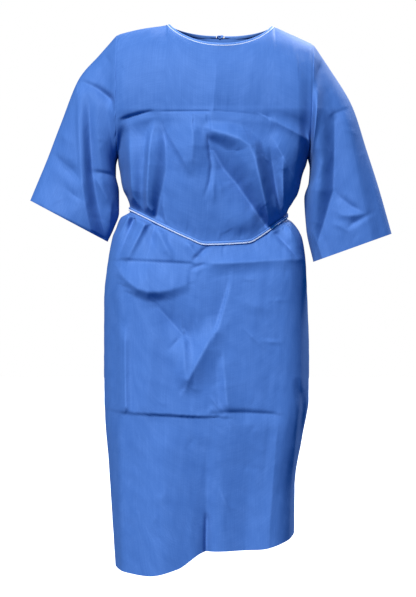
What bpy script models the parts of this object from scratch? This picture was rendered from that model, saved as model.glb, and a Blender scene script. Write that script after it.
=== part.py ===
"""An exam gown of thin non-woven cloth, standing open in the form that it has when worn.

Metres, +Z up. The origin is the middle of the shoulder line, where a wearer holds the gown up.
The front faces -Y, and the wearer's right arm is on -X.
"""

import math

import bmesh
import bpy
import numpy as np

# Cloth, seams and tape
WALL = 0.0016
SEAM_GAP = 0.0005
TAPE_WIDTH = 0.0074
TAPE_THICK = 0.0016
TAPE_CLEAR = 0.0006
TAPE_PROUD = 0.0005

# The two knots behind: across, deep, high; how far a tape lifts to reach its knot, and over what run
NECK_KNOT = (0.016, 0.009, 0.010)
BELT_KNOT = (0.018, 0.010, 0.011)
NECK_KNOT_OUT = 0.0030
BELT_KNOT_OUT = 0.0041
KNOT_RUN = 0.03
KNOT_GAP = 0.0003

# How far a free end lies off the cloth, and how far the neck's knot sits below the neck's edge
TAIL_CLEAR = 0.00045
NECK_KNOT_INSET = 0.0022

# The tapes' free ends: how far they hang down, and how far sideways
NECK_TAILS = ((-0.022, 0.205), (0.016, 0.225))
BELT_TAILS = ((-0.030, 0.300), (0.024, 0.270))

# The flat band of cloth under the belt, as levels above and below it
BELT_BAND = (2.96, 3.008)
FLARE_LEVEL = 3.025

# Heights of the chest line and the underarm, and how far an armhole reaches forward and back
CHEST_Z = -0.175
UNDERARM_Z = -0.266
ARMHOLE_FRONT = 0.066
ARMHOLE_BACK = 0.074

# Neck opening: its middle, half width, reach forward and back, and how far it scoops down
NECK_X = 0.0152
NECK_HALF = 0.1022
NECK_FRONT = 0.080
NECK_BACK = 0.070
NECK_SCOOP = 0.047
NECK_SCOOP_BACK = 0.011

# Back opening: how far each panel runs past the middle, as a share of the half width,
# and how far the upper panel stands off where the two lap
LAP_SHARE = 0.34
LAP_FADE = 0.24
LAP_OFFSET = 0.0022

# Cloth colours
BLUE = (0.072, 0.180, 0.565, 1.0)
TAPE_BLUE = (0.160, 0.290, 0.660, 1.0)

# The body's sections. level: 0 shoulder, 1 chest line, 2 underarm, 3 belt, 4 hem
SECTION_COLUMNS = ("level", "x_right", "x_left", "y_front", "y_back")
SECTIONS = (
    (0.000, -0.1920, 0.2020, -0.1000, 0.0850),
    (1.000, -0.1920, 0.1950, -0.1190, 0.0980),
    (2.000, -0.1920, 0.1913, -0.1320, 0.1030),
    (2.350, -0.1872, 0.1793, -0.1340, 0.1020),
    (2.630, -0.1815, 0.1715, -0.1310, 0.0975),
    (2.800, -0.1730, 0.1600, -0.1260, 0.0930),
    (2.960, -0.1680, 0.1500, -0.1200, 0.0880),
    (3.008, -0.1680, 0.1500, -0.1200, 0.0880),
    (3.025, -0.1865, 0.1600, -0.1225, 0.0905),
    (3.055, -0.1955, 0.1740, -0.1265, 0.0950),
    (3.080, -0.2030, 0.1805, -0.1295, 0.0995),
    (3.150, -0.2121, 0.1868, -0.1340, 0.1100),
    (3.250, -0.2195, 0.1900, -0.1370, 0.1220),
    (3.450, -0.2200, 0.1940, -0.1380, 0.1290),
    (3.580, -0.2180, 0.1930, -0.1370, 0.1270),
    (3.700, -0.2110, 0.1800, -0.1350, 0.1240),
    (3.850, -0.2040, 0.1650, -0.1330, 0.1210),
    (4.000, -0.1970, 0.1640, -0.1300, 0.1180),
)

# Lines across the body, seen from the front: the shoulders, the belt and the hem
LINE_COLUMNS = ("x", "z")
SHOULDER_LINE = (
    (-0.1920, -0.0180),
    (-0.1475, -0.0075),
    (-0.1070, -0.0010),
    (-0.0870, 0.0020),
    (0.1174, -0.0020),
    (0.1556, -0.0172),
    (0.2020, -0.0384),
)
BELT_LINE = (
    (-0.1680, -0.3700),
    (-0.1045, -0.4040),
    (-0.0453, -0.4323),
    (-0.0160, -0.4433),
    (0.0680, -0.4392),
    (0.0957, -0.4241),
    (0.1220, -0.4046),
    (0.1530, -0.3818),
)
BELT_LINE_BACK = ((-0.1680, -0.3700), (0.0000, -0.3740), (0.1530, -0.3818))
HEM_LINE = (
    (-0.1970, -1.0860),
    (-0.1300, -1.0910),
    (-0.0700, -1.0770),
    (-0.0150, -1.0450),
    (0.0900, -1.0410),
    (0.1640, -1.0210),
)
HEM_LINE_BACK = ((-0.1970, -1.0860), (-0.0800, -1.0800), (0.0600, -1.0520), (0.1640, -1.0210))

# The sleeves' rings, from armhole to cuff. widest: share of the way down where the ring is widest.
# The first ring lies on the body's own edge.
RING_COLUMNS = ("top_x", "top_z", "bottom_x", "bottom_z", "y_front", "y_back", "widest")
SLEEVE_RIGHT_RINGS = (
    (-0.2303, -0.0606, -0.1960, -0.2830, -0.070, 0.070, 0.60),
    (-0.2687, -0.1051, -0.1960, -0.3030, -0.070, 0.066, 0.56),
    (-0.3050, -0.1940, -0.1895, -0.3350, -0.066, 0.056, 0.52),
    (-0.3353, -0.2748, -0.1890, -0.3760, -0.064, 0.044, 0.50),
    (-0.3515, -0.3142, -0.1990, -0.4080, -0.064, 0.040, 0.50),
    (-0.3676, -0.3536, -0.2121, -0.4364, -0.064, 0.036, 0.50),
)
SLEEVE_LEFT_RINGS = (
    (0.2363, -0.0889, 0.1955, -0.2880, -0.070, 0.070, 0.58),
    (0.2808, -0.1637, 0.1930, -0.3170, -0.070, 0.064, 0.55),
    (0.3091, -0.2505, 0.1840, -0.3500, -0.066, 0.054, 0.52),
    (0.3340, -0.3292, 0.1880, -0.4120, -0.062, 0.044, 0.50),
    (0.3596, -0.4202, 0.2020, -0.4768, -0.058, 0.038, 0.50),
)

# Folds, one to a row, laid out on a drawing grid of about 2 mm squares as seen from the front:
# u counts to the wearer's left and v counts down. Each fold runs from (u0, v0) to (u1, v1), stands
# out0 to out1 millimetres forward (below zero for a trough) and falls away straight to nothing
# over wa squares on its left or lower side and wb squares on its right or upper side.
FOLD_COLUMNS = ("u0", "v0", "u1", "v1", "out0", "out1", "wa0", "wa1", "wb0", "wb1")
BODY_GRID = (213.2, 16.0, 0.00195)
SLEEVE_GRID = (213.1, 21.0, 0.00198)
BODY_FOLDS = (
    # Gathers that run down to the belt
    (131, 128, 130, 212, 3, 10, 10, 8, 9, 8),
    (146, 118, 145, 214, 4, 12, 8, 7, 14, 8),
    (159, 122, 152, 216, -5, -9, 8, 7, 9, 9),
    (196, 127, 208, 156, -4, -3, 9, 9, 10, 10),
    (209, 112, 207, 190, 4, 4, 16, 20, 12, 12),
    (211, 126, 222, 162, 4, 16, 40, 44, 14, 24),
    (222, 162, 267, 228, 16, 10, 44, 16, 24, 9),
    (247, 160, 275, 226, -5, -7, 9, 7, 9, 7),
    (254, 144, 263, 195, 5, 10, 8, 7, 14, 16),
    (263, 195, 271, 224, 10, 9, 7, 6, 16, 10),
    (272, 117, 277, 145, 4, 7, 14, 14, 16, 14),
    (284, 164, 285, 212, 5, 10, 9, 8, 12, 10),
    # The centre crease and the chest crease on either side
    (218, 46, 213, 111, 3, 6, 34, 30, 28, 24),
    (120, 117, 150, 110, -5, -5, 10, 10, 9, 9),
    (270, 118, 307, 136, 6, 10, 30, 34, 14, 18),
    # Gathers that run down and out from the belt
    (131, 214, 112, 250, 9, 3, 9, 9, 7, 8),
    (144, 219, 123, 260, 9, 4, 8, 9, 9, 10),
    (155, 230, 167, 254, 5, 2, 10, 10, 9, 9),
    (208, 246, 193, 262, -6, -4, 9, 9, 7, 7),
    (281, 221, 301, 248, 9, 4, 12, 14, 8, 8),
    (272, 230, 297, 258, -6, -3, 9, 9, 9, 9),
    # The hip crease, and the swag under it
    (119, 260, 200, 263, -6, -6, 13, 13, 12, 12),
    (212, 263, 305, 258, 7, 6, 14, 14, 16, 16),
    (118, 270, 150, 293, 6, 9, 16, 18, 16, 18),
    (150, 293, 187, 281, 9, 5, 18, 14, 18, 12),
    (147, 264, 148, 294, 6, 5, 14, 14, 14, 14),
    (151, 304, 182, 333, 6, 15, 26, 26, 34, 40),
    # The long slants down to the thigh crease
    (183, 334, 188, 382, 13, 12, 24, 24, 16, 14),
    (233, 272, 216, 327, -6, -10, 12, 18, 12, 16),
    (216, 328, 186, 381, 8, 9, 18, 16, 30, 26),
    (223, 362, 227, 411, 8, 9, 14, 14, 24, 24),
    (117, 414, 151, 412, 7, 12, 16, 12, 26, 26),
    (151, 412, 209, 415, 13, 12, 11, 11, 28, 28),
    (225, 412, 273, 414, -9, -7, 15, 15, 13, 13),
    (125, 328, 125, 410, 6, 7, 10, 10, 16, 16),
    # The long upright folds of the skirt
    (276, 400, 266, 542, 11, 10, 34, 34, 26, 24),
    (298, 420, 292, 496, 8, 6, 16, 16, 8, 8),
    (205, 470, 205, 556, -5, -14, 22, 26, 16, 18),
    (166, 430, 160, 560, 5, 8, 26, 30, 30, 30),
)
SLEEVE_FOLDS = (
    # The wearer's right sleeve
    (79, 80, 117, 106, -5, -7, 11, 12, 10, 11),
    (78, 90, 86, 224, 5, 8, 22, 24, 13, 13),
    (93, 96, 98, 226, -4, -5, 10, 12, 12, 14),
    (50, 152, 82, 184, -5, -6, 12, 12, 12, 12),
    # The wearer's left sleeve
    (325, 58, 311, 88, -6, -5, 10, 10, 10, 10),
    (335, 112, 334, 190, 6, 9, 22, 20, 20, 20),
    (334, 190, 320, 242, 9, 5, 20, 16, 20, 20),
    (318, 224, 366, 214, 5, 7, 16, 16, 14, 14),
)

# How many points each piece has along and across it
FRONT_COLUMNS = (8, 20, 8)
BACK_COLUMNS = (4, 3, 6)
YOKE_ROWS = 5
ARMHOLE_ROWS = 5
BLOUSE_ROWS = 8
SKIRT_ROWS = 24
SLEEVE_ROWS = 13
SLEEVE_POINTS = 26


def fade(low, high, value):
    """0 below low, 1 above high, smooth between."""
    u = np.clip((value - low) / (high - low), 0, 1)
    return u * u * (3 - 2 * u)


def eased(knots, values, at):
    """A smooth curve through the values at the knots, with no overshoot."""
    knots = np.asarray(knots, float)
    values = np.asarray(values, float)
    flat = (len(knots),) + (1,) * (values.ndim - 1)
    gap = np.diff(knots).reshape((len(knots) - 1,) + (1,) * (values.ndim - 1))
    slope = np.diff(values, axis=0) / gap
    tangent = np.zeros(np.broadcast_shapes(values.shape, flat))
    tangent[0] = slope[0]
    tangent[-1] = slope[-1]
    together = slope[:-1] * slope[1:]
    total = slope[:-1] + slope[1:]
    safe = np.where(together > 0, total, 1.0)
    tangent[1:-1] = np.where(together > 0, 2 * together / safe, 0.0)
    at = np.clip(np.asarray(at, float), knots[0], knots[-1])
    i = np.clip(np.searchsorted(knots, at, side="right") - 1, 0, len(knots) - 2)
    h = knots[i + 1] - knots[i]
    u = (at - knots[i]) / h
    extra = (1,) * (values.ndim - 1)
    u = u.reshape(u.shape + extra)
    h = h.reshape(h.shape + extra)
    return (
        (1 + 2 * u) * (1 - u) ** 2 * values[i]
        + u * (1 - u) ** 2 * h * tangent[i]
        + u**2 * (3 - 2 * u) * values[i + 1]
        - u**2 * (1 - u) * h * tangent[i + 1]
    )


def column(table, names, name):
    """One named column of a table."""
    return [row[names.index(name)] for row in table]


def line_z(table, x):
    """The height of a line across the body at x."""
    return eased(column(table, LINE_COLUMNS, "x"), column(table, LINE_COLUMNS, "z"), x)


def section(name, level):
    """One size of the body's section at a level."""
    return eased(
        column(SECTIONS, SECTION_COLUMNS, "level"),
        column(SECTIONS, SECTION_COLUMNS, name),
        level,
    )


def neck_edge(x, side, inset):
    """Height and reach of the neck's edge at x, or of a line that far out from the edge."""
    across = np.clip(np.abs(x - NECK_X) / (NECK_HALF + inset), 0, 1)
    scoop = NECK_SCOOP if side < 0 else NECK_SCOOP_BACK
    reach = NECK_FRONT if side < 0 else NECK_BACK
    z = line_z(SHOULDER_LINE, x) - (scoop + inset) * (1 - across**2.2) ** 0.8
    y = side * (reach + 0.3 * inset) * np.sqrt(1 - across**2)
    return z, y


def body_points(side, t, level, inset=TAPE_WIDTH + SEAM_GAP):
    """Points of the body's smooth form: side -1 front, +1 back; t from -1 to 1, seam to seam."""
    t, level = np.broadcast_arrays(np.asarray(t, float), np.asarray(level, float))
    round_share = fade(1, 2, level)
    across = (1 - round_share) * t + round_share * np.sin(t * math.pi / 2)
    x_right, x_left = section("x_right", level), section("x_left", level)
    x = (x_right + x_left) / 2 + across * (x_left - x_right) / 2
    belt = BELT_LINE if side < 0 else BELT_LINE_BACK
    hem = HEM_LINE if side < 0 else HEM_LINE_BACK
    top_z, top_y = neck_edge(x, side, inset)
    drop = 1 - np.cos(np.clip(level, 0, 1) * math.pi / 2)
    z = top_z + (CHEST_Z - top_z) * drop
    z = np.where(level > 1, CHEST_Z + (UNDERARM_Z - CHEST_Z) * (level - 1), z)
    z = np.where(level > 2, UNDERARM_Z + (line_z(belt, x) - UNDERARM_Z) * (level - 2), z)
    z = np.where(level > 3, line_z(belt, x) + (line_z(hem, x) - line_z(belt, x)) * (level - 3), z)
    depth = section("y_front" if side < 0 else "y_back", level)
    armhole = side * (ARMHOLE_FRONT if side < 0 else ARMHOLE_BACK)
    edge_y = armhole * np.sqrt(np.clip(1 - np.clip(level - 1, 0, 1) ** 2, 0, 1))
    power = 2.0 + 0.5 * round_share
    fullness = 0.9 - 0.4 * round_share
    crown = np.clip(1 - np.abs(across) ** power, 0, 1) ** fullness
    # Toward the underarm the armhole's edge pulls in less and less of the panel beside it
    y = depth * crown + edge_y * (1 - crown) ** (1 + 1.5 * round_share)
    # Above the chest line the cloth turns over the shoulder, and runs straighter to the neck
    chest_y = armhole + (section("y_front" if side < 0 else "y_back", 1.0) - armhole) * crown
    near_neck = np.sqrt(np.clip(1 - ((x - NECK_X) / (NECK_HALF * 1.25)) ** 2, 0, 1))
    bend = 0.5 + 0.28 * near_neck
    y_yoke = top_y + (chest_y - top_y) * (1 - (1 - drop) ** 2) ** bend
    y = np.where(level < 1, y_yoke, y) + side * SEAM_GAP / 2
    return np.stack([x, y, z], axis=-1)


def fold_out(folds, grid, x, z):
    """How far the folds stand forward at x, z."""
    u, v = x / grid[2] + grid[0], grid[1] - z / grid[2]
    out = np.zeros(np.shape(x))
    for row in folds:
        fold = dict(zip(FOLD_COLUMNS, row))
        run_u, run_v = fold["u1"] - fold["u0"], fold["v1"] - fold["v0"]
        length = math.hypot(run_u, run_v)
        along = ((u - fold["u0"]) * run_u + (v - fold["v0"]) * run_v) / length**2
        off = ((u - fold["u0"]) * run_v - (v - fold["v0"]) * run_u) / length
        share = np.clip(along, 0, 1)
        below = fold["wa0"] + (fold["wa1"] - fold["wa0"]) * share
        above = fold["wb0"] + (fold["wb1"] - fold["wb0"]) * share
        height = fold["out0"] + (fold["out1"] - fold["out0"]) * share
        reach = 8 / length
        ends = fade(-reach, reach, along) * (1 - fade(1 - reach, 1 + reach, along))
        out += 0.001 * height * ends * np.clip(1 - np.where(off < 0, -off / below, off / above), 0, 1)
    return out


def body_levels():
    """The levels of the body's rows, from shoulder to hem. The belt's row has one close above and below."""
    yoke = np.linspace(0, 1, YOKE_ROWS, endpoint=False)
    armhole = 1 + np.sin(np.linspace(0, math.pi / 2, ARMHOLE_ROWS, endpoint=False))
    blouse = np.linspace(2, BELT_BAND[0], BLOUSE_ROWS)
    skirt = np.linspace(FLARE_LEVEL, 4, SKIRT_ROWS)
    return np.concatenate([yoke, armhole, blouse, (3.0, BELT_BAND[1]), skirt])


def neck_shares(inset=TAPE_WIDTH + SEAM_GAP):
    """Where the neck's two corners lie, from -1 to 1 across the shoulders."""
    x_right, x_left = float(section("x_right", 0.0)), float(section("x_left", 0.0))
    middle, half = (x_right + x_left) / 2, (x_left - x_right) / 2
    return [(NECK_X + s * (NECK_HALF + inset) - middle) / half for s in (-1, 1)]


def front_shares():
    """Places across the front, with a column on each corner of the neck."""
    right, left = neck_shares()
    arc = (right + left) / 2 - (left - right) / 2 * np.cos(np.linspace(0, math.pi, FRONT_COLUMNS[1] + 1))
    even = np.linspace(right, left, FRONT_COLUMNS[1] + 1)
    middle = 0.6 * arc + 0.4 * even
    return np.concatenate(
        [
            np.linspace(-1, right, FRONT_COLUMNS[0], endpoint=False),
            middle[:-1],
            np.linspace(left, 1, FRONT_COLUMNS[2] + 1),
        ]
    )


def back_shares(upper):
    """Places across one back panel. The two panels share their places where they lap."""
    corners = neck_shares()
    beside, toward, lapped = BACK_COLUMNS
    lap = np.linspace(-LAP_SHARE, LAP_SHARE, lapped + 1)
    side = 1 if upper else -1
    corner = corners[1] if upper else -corners[0]
    turn = np.linspace(0, math.pi / 2, toward + 1)
    shoulder = LAP_SHARE + (corner - LAP_SHARE) * np.sin(turn)
    outer = np.concatenate([shoulder[1:], np.linspace(corner, 1, beside + 1)[1:]])
    return np.concatenate([lap, outer]) if side > 0 else np.concatenate([-outer[::-1], lap])


def grid_normals(points, around=False):
    """Unit normals of a grid of points, from its neighbours, to one side of the cloth."""
    down = np.gradient(points, axis=0)
    if around:
        along = np.roll(points, -1, axis=1) - np.roll(points, 1, axis=1)
    else:
        along = np.gradient(points, axis=1)
    normal = np.cross(along, down)
    return normal / np.maximum(np.linalg.norm(normal, axis=-1, keepdims=True), 1e-12)


def body_surface(side, t, level, folds=(), upper=False):
    """Outer points of a body panel and its outward normals. upper: the back panel that laps over the other."""
    t, level = np.asarray(t, float), np.asarray(level, float)
    points = body_points(side, t[None, :], level[:, None])
    direction = side if t[-1] > t[0] else -side
    normal = grid_normals(points) * direction
    if upper:
        lap = fade(-LAP_SHARE - 0.2, -LAP_SHARE - 0.02, t) * (1 - fade(LAP_SHARE + 0.02, LAP_SHARE + LAP_FADE, t))
        points = points + normal * (lap * LAP_OFFSET)[None, :, None]
    if folds:
        out = fold_out(folds, BODY_GRID, points[..., 0], points[..., 2])
        free = fade(0, 0.08, 1 - np.abs(t))[None, :] * fade(0, 0.6, level)[:, None]
        near_belt = fade(0.005, 0.022, np.abs(points[..., 2] - line_z(BELT_LINE, points[..., 0])))
        out = np.where(out > 0, out * near_belt, out) * free
        points[..., 1] -= out
        normal = grid_normals(points) * direction
    return points, normal


def material(name, colour):
    made = bpy.data.materials.new(name)
    made.use_nodes = True
    shader = made.node_tree.nodes["Principled BSDF"]
    shader.inputs["Base Color"].default_value = colour
    shader.inputs["Roughness"].default_value = 0.62
    shader.inputs["Metallic"].default_value = 0.0
    return made


def finished(name, mesh, finish, centre=(0, 0, 0)):
    """A smooth-shaded object with its faces turned outward."""
    shaping = bmesh.new()
    shaping.from_mesh(mesh)
    bmesh.ops.recalc_face_normals(shaping, faces=shaping.faces)
    shaping.to_mesh(mesh)
    shaping.free()
    mesh.shade_smooth()
    mesh.materials.append(finish)
    piece = bpy.data.objects.new(name, mesh)
    piece.location = centre
    bpy.context.scene.collection.objects.link(piece)
    return piece


def walled(name, outer, inner, finish, around=False):
    """A closed wall between two grids of points of the same shape."""
    rows, columns = outer.shape[:2]
    count = rows * columns
    across = columns if around else columns - 1
    faces = []

    def corner(layer, r, c):
        return layer * count + r * columns + c % columns

    def split(a, b, c, d):
        faces.extend([(a, b, c), (a, c, d)])

    for r in range(rows - 1):
        for c in range(across):
            for layer in (0, 1):
                split(*[corner(layer, r + i, c + j) for i, j in ((0, 0), (1, 0), (1, 1), (0, 1))])
    for r in (0, rows - 1):
        for c in range(across):
            split(corner(0, r, c), corner(0, r, c + 1), corner(1, r, c + 1), corner(1, r, c))
    if not around:
        for c in (0, columns - 1):
            for r in range(rows - 1):
                split(corner(0, r, c), corner(0, r + 1, c), corner(1, r + 1, c), corner(1, r, c))
    mesh = bpy.data.meshes.new(name)
    both = np.concatenate([outer.reshape(-1, 3), inner.reshape(-1, 3)])
    mesh.from_pydata([tuple(p) for p in both], [], faces)
    return finished(name, mesh, finish)


def panel(name, side, t, finish, folds=(), upper=False):
    """A body panel. Its wall keeps to its own side of every seam."""
    level = body_levels()
    points, normal = body_surface(side, t, level, folds, upper)
    inner = points - normal * WALL
    inner[0] = points[0] - (0, 0, WALL)
    for c in (0, -1):
        if abs(abs(t[c]) - 1) < 1e-9:
            below = level >= 2 - 1e-9
            inner[below, c, 1] = points[below, c, 1]
    return walled(name, points, inner, finish)


def armhole_loop(side, angle):
    """The body's own edge round an armhole, a seam's gap further out."""
    turn = np.abs((angle + math.pi) % (2 * math.pi) - math.pi)
    level = np.where(turn < math.pi / 2, 2 * turn / math.pi, 1 - np.cos(turn))
    front = np.array([body_points(-1, side, value) for value in level])
    back = np.array([body_points(1, side, value) for value in level])
    loop = np.where((np.sin(angle) > 1e-9)[:, None], front, back)
    middle = np.abs(np.sin(angle)) < 1e-9
    loop[middle] = (front[middle] + back[middle]) / 2
    loop[:, 0] += side * SEAM_GAP
    return loop


def sleeve_points(rings, side, rows):
    """The sleeve's tube. Angle 0 is its top and a quarter turn its front."""
    angle = np.linspace(0, 2 * math.pi, SLEEVE_POINTS, endpoint=False)
    down, forward = np.cos(angle), np.sin(angle)
    loops = [armhole_loop(side, angle)]
    for row in rings:
        size = dict(zip(RING_COLUMNS, row))
        share = np.where(down > 0, size["widest"] * (1 - down), size["widest"] - (1 - size["widest"]) * down)
        middle = (size["y_front"] + size["y_back"]) / 2
        y = middle + (size["y_front"] - middle) * forward
        x = size["top_x"] + (size["bottom_x"] - size["top_x"]) * share
        z = size["top_z"] + (size["bottom_z"] - size["top_z"]) * share
        loops.append(np.stack([x, y, z], axis=-1))
    place = np.linspace(0, len(rings), rows)
    points = eased(np.arange(len(rings) + 1), np.array(loops), place)
    out = fold_out(SLEEVE_FOLDS, SLEEVE_GRID, points[..., 0], points[..., 2])
    free = np.clip(forward, 0, 1)[None, :] ** 0.7 * fade(0, 0.8, place)[:, None]
    points[..., 1] -= out * free
    return points


def make_sleeve(name, rings, side, finish):
    points = sleeve_points(rings, side, SLEEVE_ROWS)
    normal = grid_normals(points, around=True)
    outward = points - points.mean(axis=1, keepdims=True)
    normal *= np.sign(np.sum(normal * outward))
    inner = points - normal * WALL
    flat = normal[0] * (0, 1, 1)
    inner[0] = points[0] - flat / np.linalg.norm(flat, axis=-1, keepdims=True) * WALL
    return walled(name, points, inner, finish, around=True)


def neck_angles():
    """Angles round the neck, 0 at the front: the panels' own columns, and stops beside the knot behind."""
    stop = (NECK_KNOT[0] / 2 + KNOT_GAP) / NECK_HALF
    corner = TAPE_WIDTH + SEAM_GAP

    def turns(side, t):
        x = body_points(side, t, 0.0)[..., 0]
        return np.arcsin(np.clip((x - NECK_X) / (NECK_HALF + corner), -1, 1))

    right, left = neck_shares()
    front_t = front_shares()
    front = turns(-1, front_t[(front_t > right + 1e-9) & (front_t < left - 1e-9)])
    behind_right, behind_left = back_shares(False), back_shares(True)
    back_right = -math.pi - turns(1, behind_right[behind_right > right + 1e-9])
    back_left = math.pi - turns(1, behind_left[behind_left < left - 1e-9])
    back_right = np.sort(back_right[back_right > stop + 0.03 - math.pi])
    back_left = np.sort(back_left[back_left < math.pi - stop - 0.03])
    quarter = [math.pi / 2]
    return np.concatenate([[stop - math.pi], back_right, [-math.pi / 2], front, quarter, back_left, [math.pi - stop]])


def neck_track(inset_rows):
    """The neck binding's rows of points round the neck, from the knot behind and back to it."""
    angle = neck_angles()
    ahead = np.cos(angle) > 0
    rows = []
    for inset in inset_rows:
        x = NECK_X + (NECK_HALF + inset) * np.sin(angle)
        front_z, front_y = neck_edge(x, -1, inset)
        back_z, back_y = neck_edge(x, 1, inset)
        rows.append(np.stack([x, np.where(ahead, front_y, back_y), np.where(ahead, front_z, back_z)], axis=-1))
    points = np.array(rows)
    normal = -grid_normals(points)
    behind = fade(math.pi - 0.35, angle[-1], np.abs(angle))
    return points + normal * (TAPE_PROUD + NECK_KNOT_OUT * behind)[None, :, None], normal


def make_neck_binding(finish):
    points, normal = neck_track(np.linspace(0, TAPE_WIDTH, 3))
    return walled("neck_binding", points, points - normal * (TAPE_THICK + TAPE_PROUD), finish)


def belt_track():
    """The belt's middle line from the knot round the body and back to it, with its outward and downward ways."""
    level = np.array([BELT_BAND[0], 3.0, BELT_BAND[1]])
    half_width = float(section("x_left", 3.0) - section("x_right", 3.0)) / 2
    stop = (BELT_KNOT[0] / 2 + KNOT_GAP) / half_width * 2 / math.pi
    behind_right = back_shares(False)
    behind_left = back_shares(True)
    strips = []
    for side, t in (
        (1, np.concatenate([[-stop], behind_right[behind_right < -stop - 0.01][::-1]])),
        (-1, front_shares()),
        (1, np.concatenate([behind_left[behind_left > stop + 0.01][::-1], [stop]])),
    ):
        points, normal = body_surface(side, t, level, (), upper=side > 0)
        down = points[2] - points[0]
        down = down / np.linalg.norm(down, axis=-1, keepdims=True)
        out = normal[1] - down * np.sum(normal[1] * down, axis=-1, keepdims=True)
        out = out / np.linalg.norm(out, axis=-1, keepdims=True)
        clear = np.max(np.sum((points - points[1]) * out, axis=-1), axis=0)
        strips.append([points[1] + out * clear[:, None], out, down])
    seam = [np.concatenate([a[:-1], (a[-1:] + b[:1]) / 2, b[1:]]) for a, b in zip(strips[0], strips[1])]
    return [np.concatenate([a[:-1], (a[-1:] + b[:1]) / 2, b[1:]]) for a, b in zip(seam, strips[2])]


def make_belt(finish):
    middle, out, down = belt_track()
    out = out / np.linalg.norm(out, axis=-1, keepdims=True)
    travelled = np.concatenate([[0], np.cumsum(np.linalg.norm(np.diff(middle, axis=0), axis=1))])
    behind = 1 - fade(0, KNOT_RUN, np.minimum(travelled, travelled[-1] - travelled))
    lift = TAPE_CLEAR + TAPE_THICK + BELT_KNOT_OUT * behind
    outer = np.array([middle + out * lift[:, None] + down * across for across in (-TAPE_WIDTH / 2, TAPE_WIDTH / 2)])
    return walled("belt", outer, outer - out * TAPE_THICK, finish)


def make_knot(name, centre, size, finish):
    """A tied knot as one rounded block, size across, deep and high."""
    mesh = bpy.data.meshes.new(name)
    shaping = bmesh.new()
    bmesh.ops.create_uvsphere(shaping, u_segments=14, v_segments=8, radius=1.0)
    for vertex in shaping.verts:
        for axis in range(3):
            value = vertex.co[axis]
            vertex.co[axis] = math.copysign(abs(value) ** 0.7, value) * size[axis] / 2
    shaping.to_mesh(mesh)
    shaping.free()
    return finished(name, mesh, finish, centre)


def back_at(x, level):
    """The outer back at x on one level: the point and its outward way."""
    t = back_shares(True)
    near, normal = body_surface(1, t, np.array([level, level + 0.02]), (), upper=True)
    point = np.array([np.interp(x, near[0, :, 0], near[0, :, axis]) for axis in range(3)])
    way = np.array([np.interp(x, near[0, :, 0], normal[0, :, axis]) for axis in range(3)])
    return point, way / np.linalg.norm(way)


def tail_levels(top, length):
    """The levels down the back from height top over a length, on the panel's own rows."""
    level = body_levels()
    height = np.array([back_at(0.0, value)[0][2] for value in level])
    inside = (height < top - 0.004) & (height > top - length + 0.004)
    ends = np.interp([-top, length - top], -height, level)
    return np.concatenate([[ends[0]], level[inside], [ends[1]]])


def make_tail(name, start, knot_out, drift, length, finish):
    """A tape end that hangs down the back from under a knot."""
    level = tail_levels(start[2], length)
    share = (level - level[0]) / (level[-1] - level[0])
    side = math.copysign(1, drift)
    rows = []
    for value, down in zip(level, share):
        x = start[0] + side * (TAPE_WIDTH / 2 + KNOT_GAP) + drift * down
        lift = TAIL_CLEAR + TAPE_THICK + knot_out * (1 - fade(0, 0.2, down))
        pairs = [back_at(x + across, value) for across in (-TAPE_WIDTH / 2, TAPE_WIDTH / 2)]
        rows.append([(point + way * lift, way) for point, way in pairs])
    outer = np.array([[pair[0] for pair in row] for row in rows])
    way = np.array([[pair[1] for pair in row] for row in rows])
    inner = outer - way * TAPE_THICK
    outer[0, :, 2] = start[2]
    inner[0, :, 2] = start[2]
    return walled(name, outer, inner, finish)


def make_ties(label, centre, size, knot_out, tails, finish):
    """A knot and the two free ends below it."""
    make_knot(label + "_knot", tuple(centre), size, finish)
    start = (centre[0], centre[1], centre[2] - size[2] / 2 - KNOT_GAP)
    for name, (drift, length) in zip(("_tail_right", "_tail_left"), tails):
        make_tail(label + name, start, knot_out, drift, length, finish)


def make_neck_ties(finish):
    points, normal = neck_track(np.array([0, NECK_KNOT_INSET, TAPE_WIDTH]))
    way = (normal[1, 0] + normal[1, -1]) / 2
    centre = (points[1, 0] + points[1, -1]) / 2 - way * (TAPE_THICK + TAPE_PROUD) / 2
    make_ties("neck", centre, NECK_KNOT, NECK_KNOT_OUT, NECK_TAILS, finish)


def make_belt_ties(finish):
    middle, out, _ = belt_track()
    lift = TAPE_CLEAR + TAPE_THICK / 2 + BELT_KNOT_OUT
    centre = (middle[0] + middle[-1]) / 2 + (out[0] + out[-1]) / 2 * lift
    make_ties("belt", centre, BELT_KNOT, BELT_KNOT_OUT, BELT_TAILS, finish)


def main():
    for old in list(bpy.data.objects):
        bpy.data.objects.remove(old)
    cloth = material("cloth", BLUE)
    tape = material("tape", TAPE_BLUE)
    panel("front", -1, front_shares(), cloth, BODY_FOLDS)
    panel("back_right", 1, back_shares(False), cloth)
    panel("back_left", 1, back_shares(True), cloth, upper=True)
    make_sleeve("sleeve_right", SLEEVE_RIGHT_RINGS, -1, cloth)
    make_sleeve("sleeve_left", SLEEVE_LEFT_RINGS, 1, cloth)
    make_neck_binding(tape)
    make_neck_ties(tape)
    make_belt(tape)
    make_belt_ties(tape)


main()
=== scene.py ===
"""The exam gown's looks: creased cloth shells, stitched tapes, the non-woven finish, light and camera.

Metres, +Z up, in the part's own frame: the front faces -Y and the wearer's right arm is on -X.
"""

import math

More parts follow.
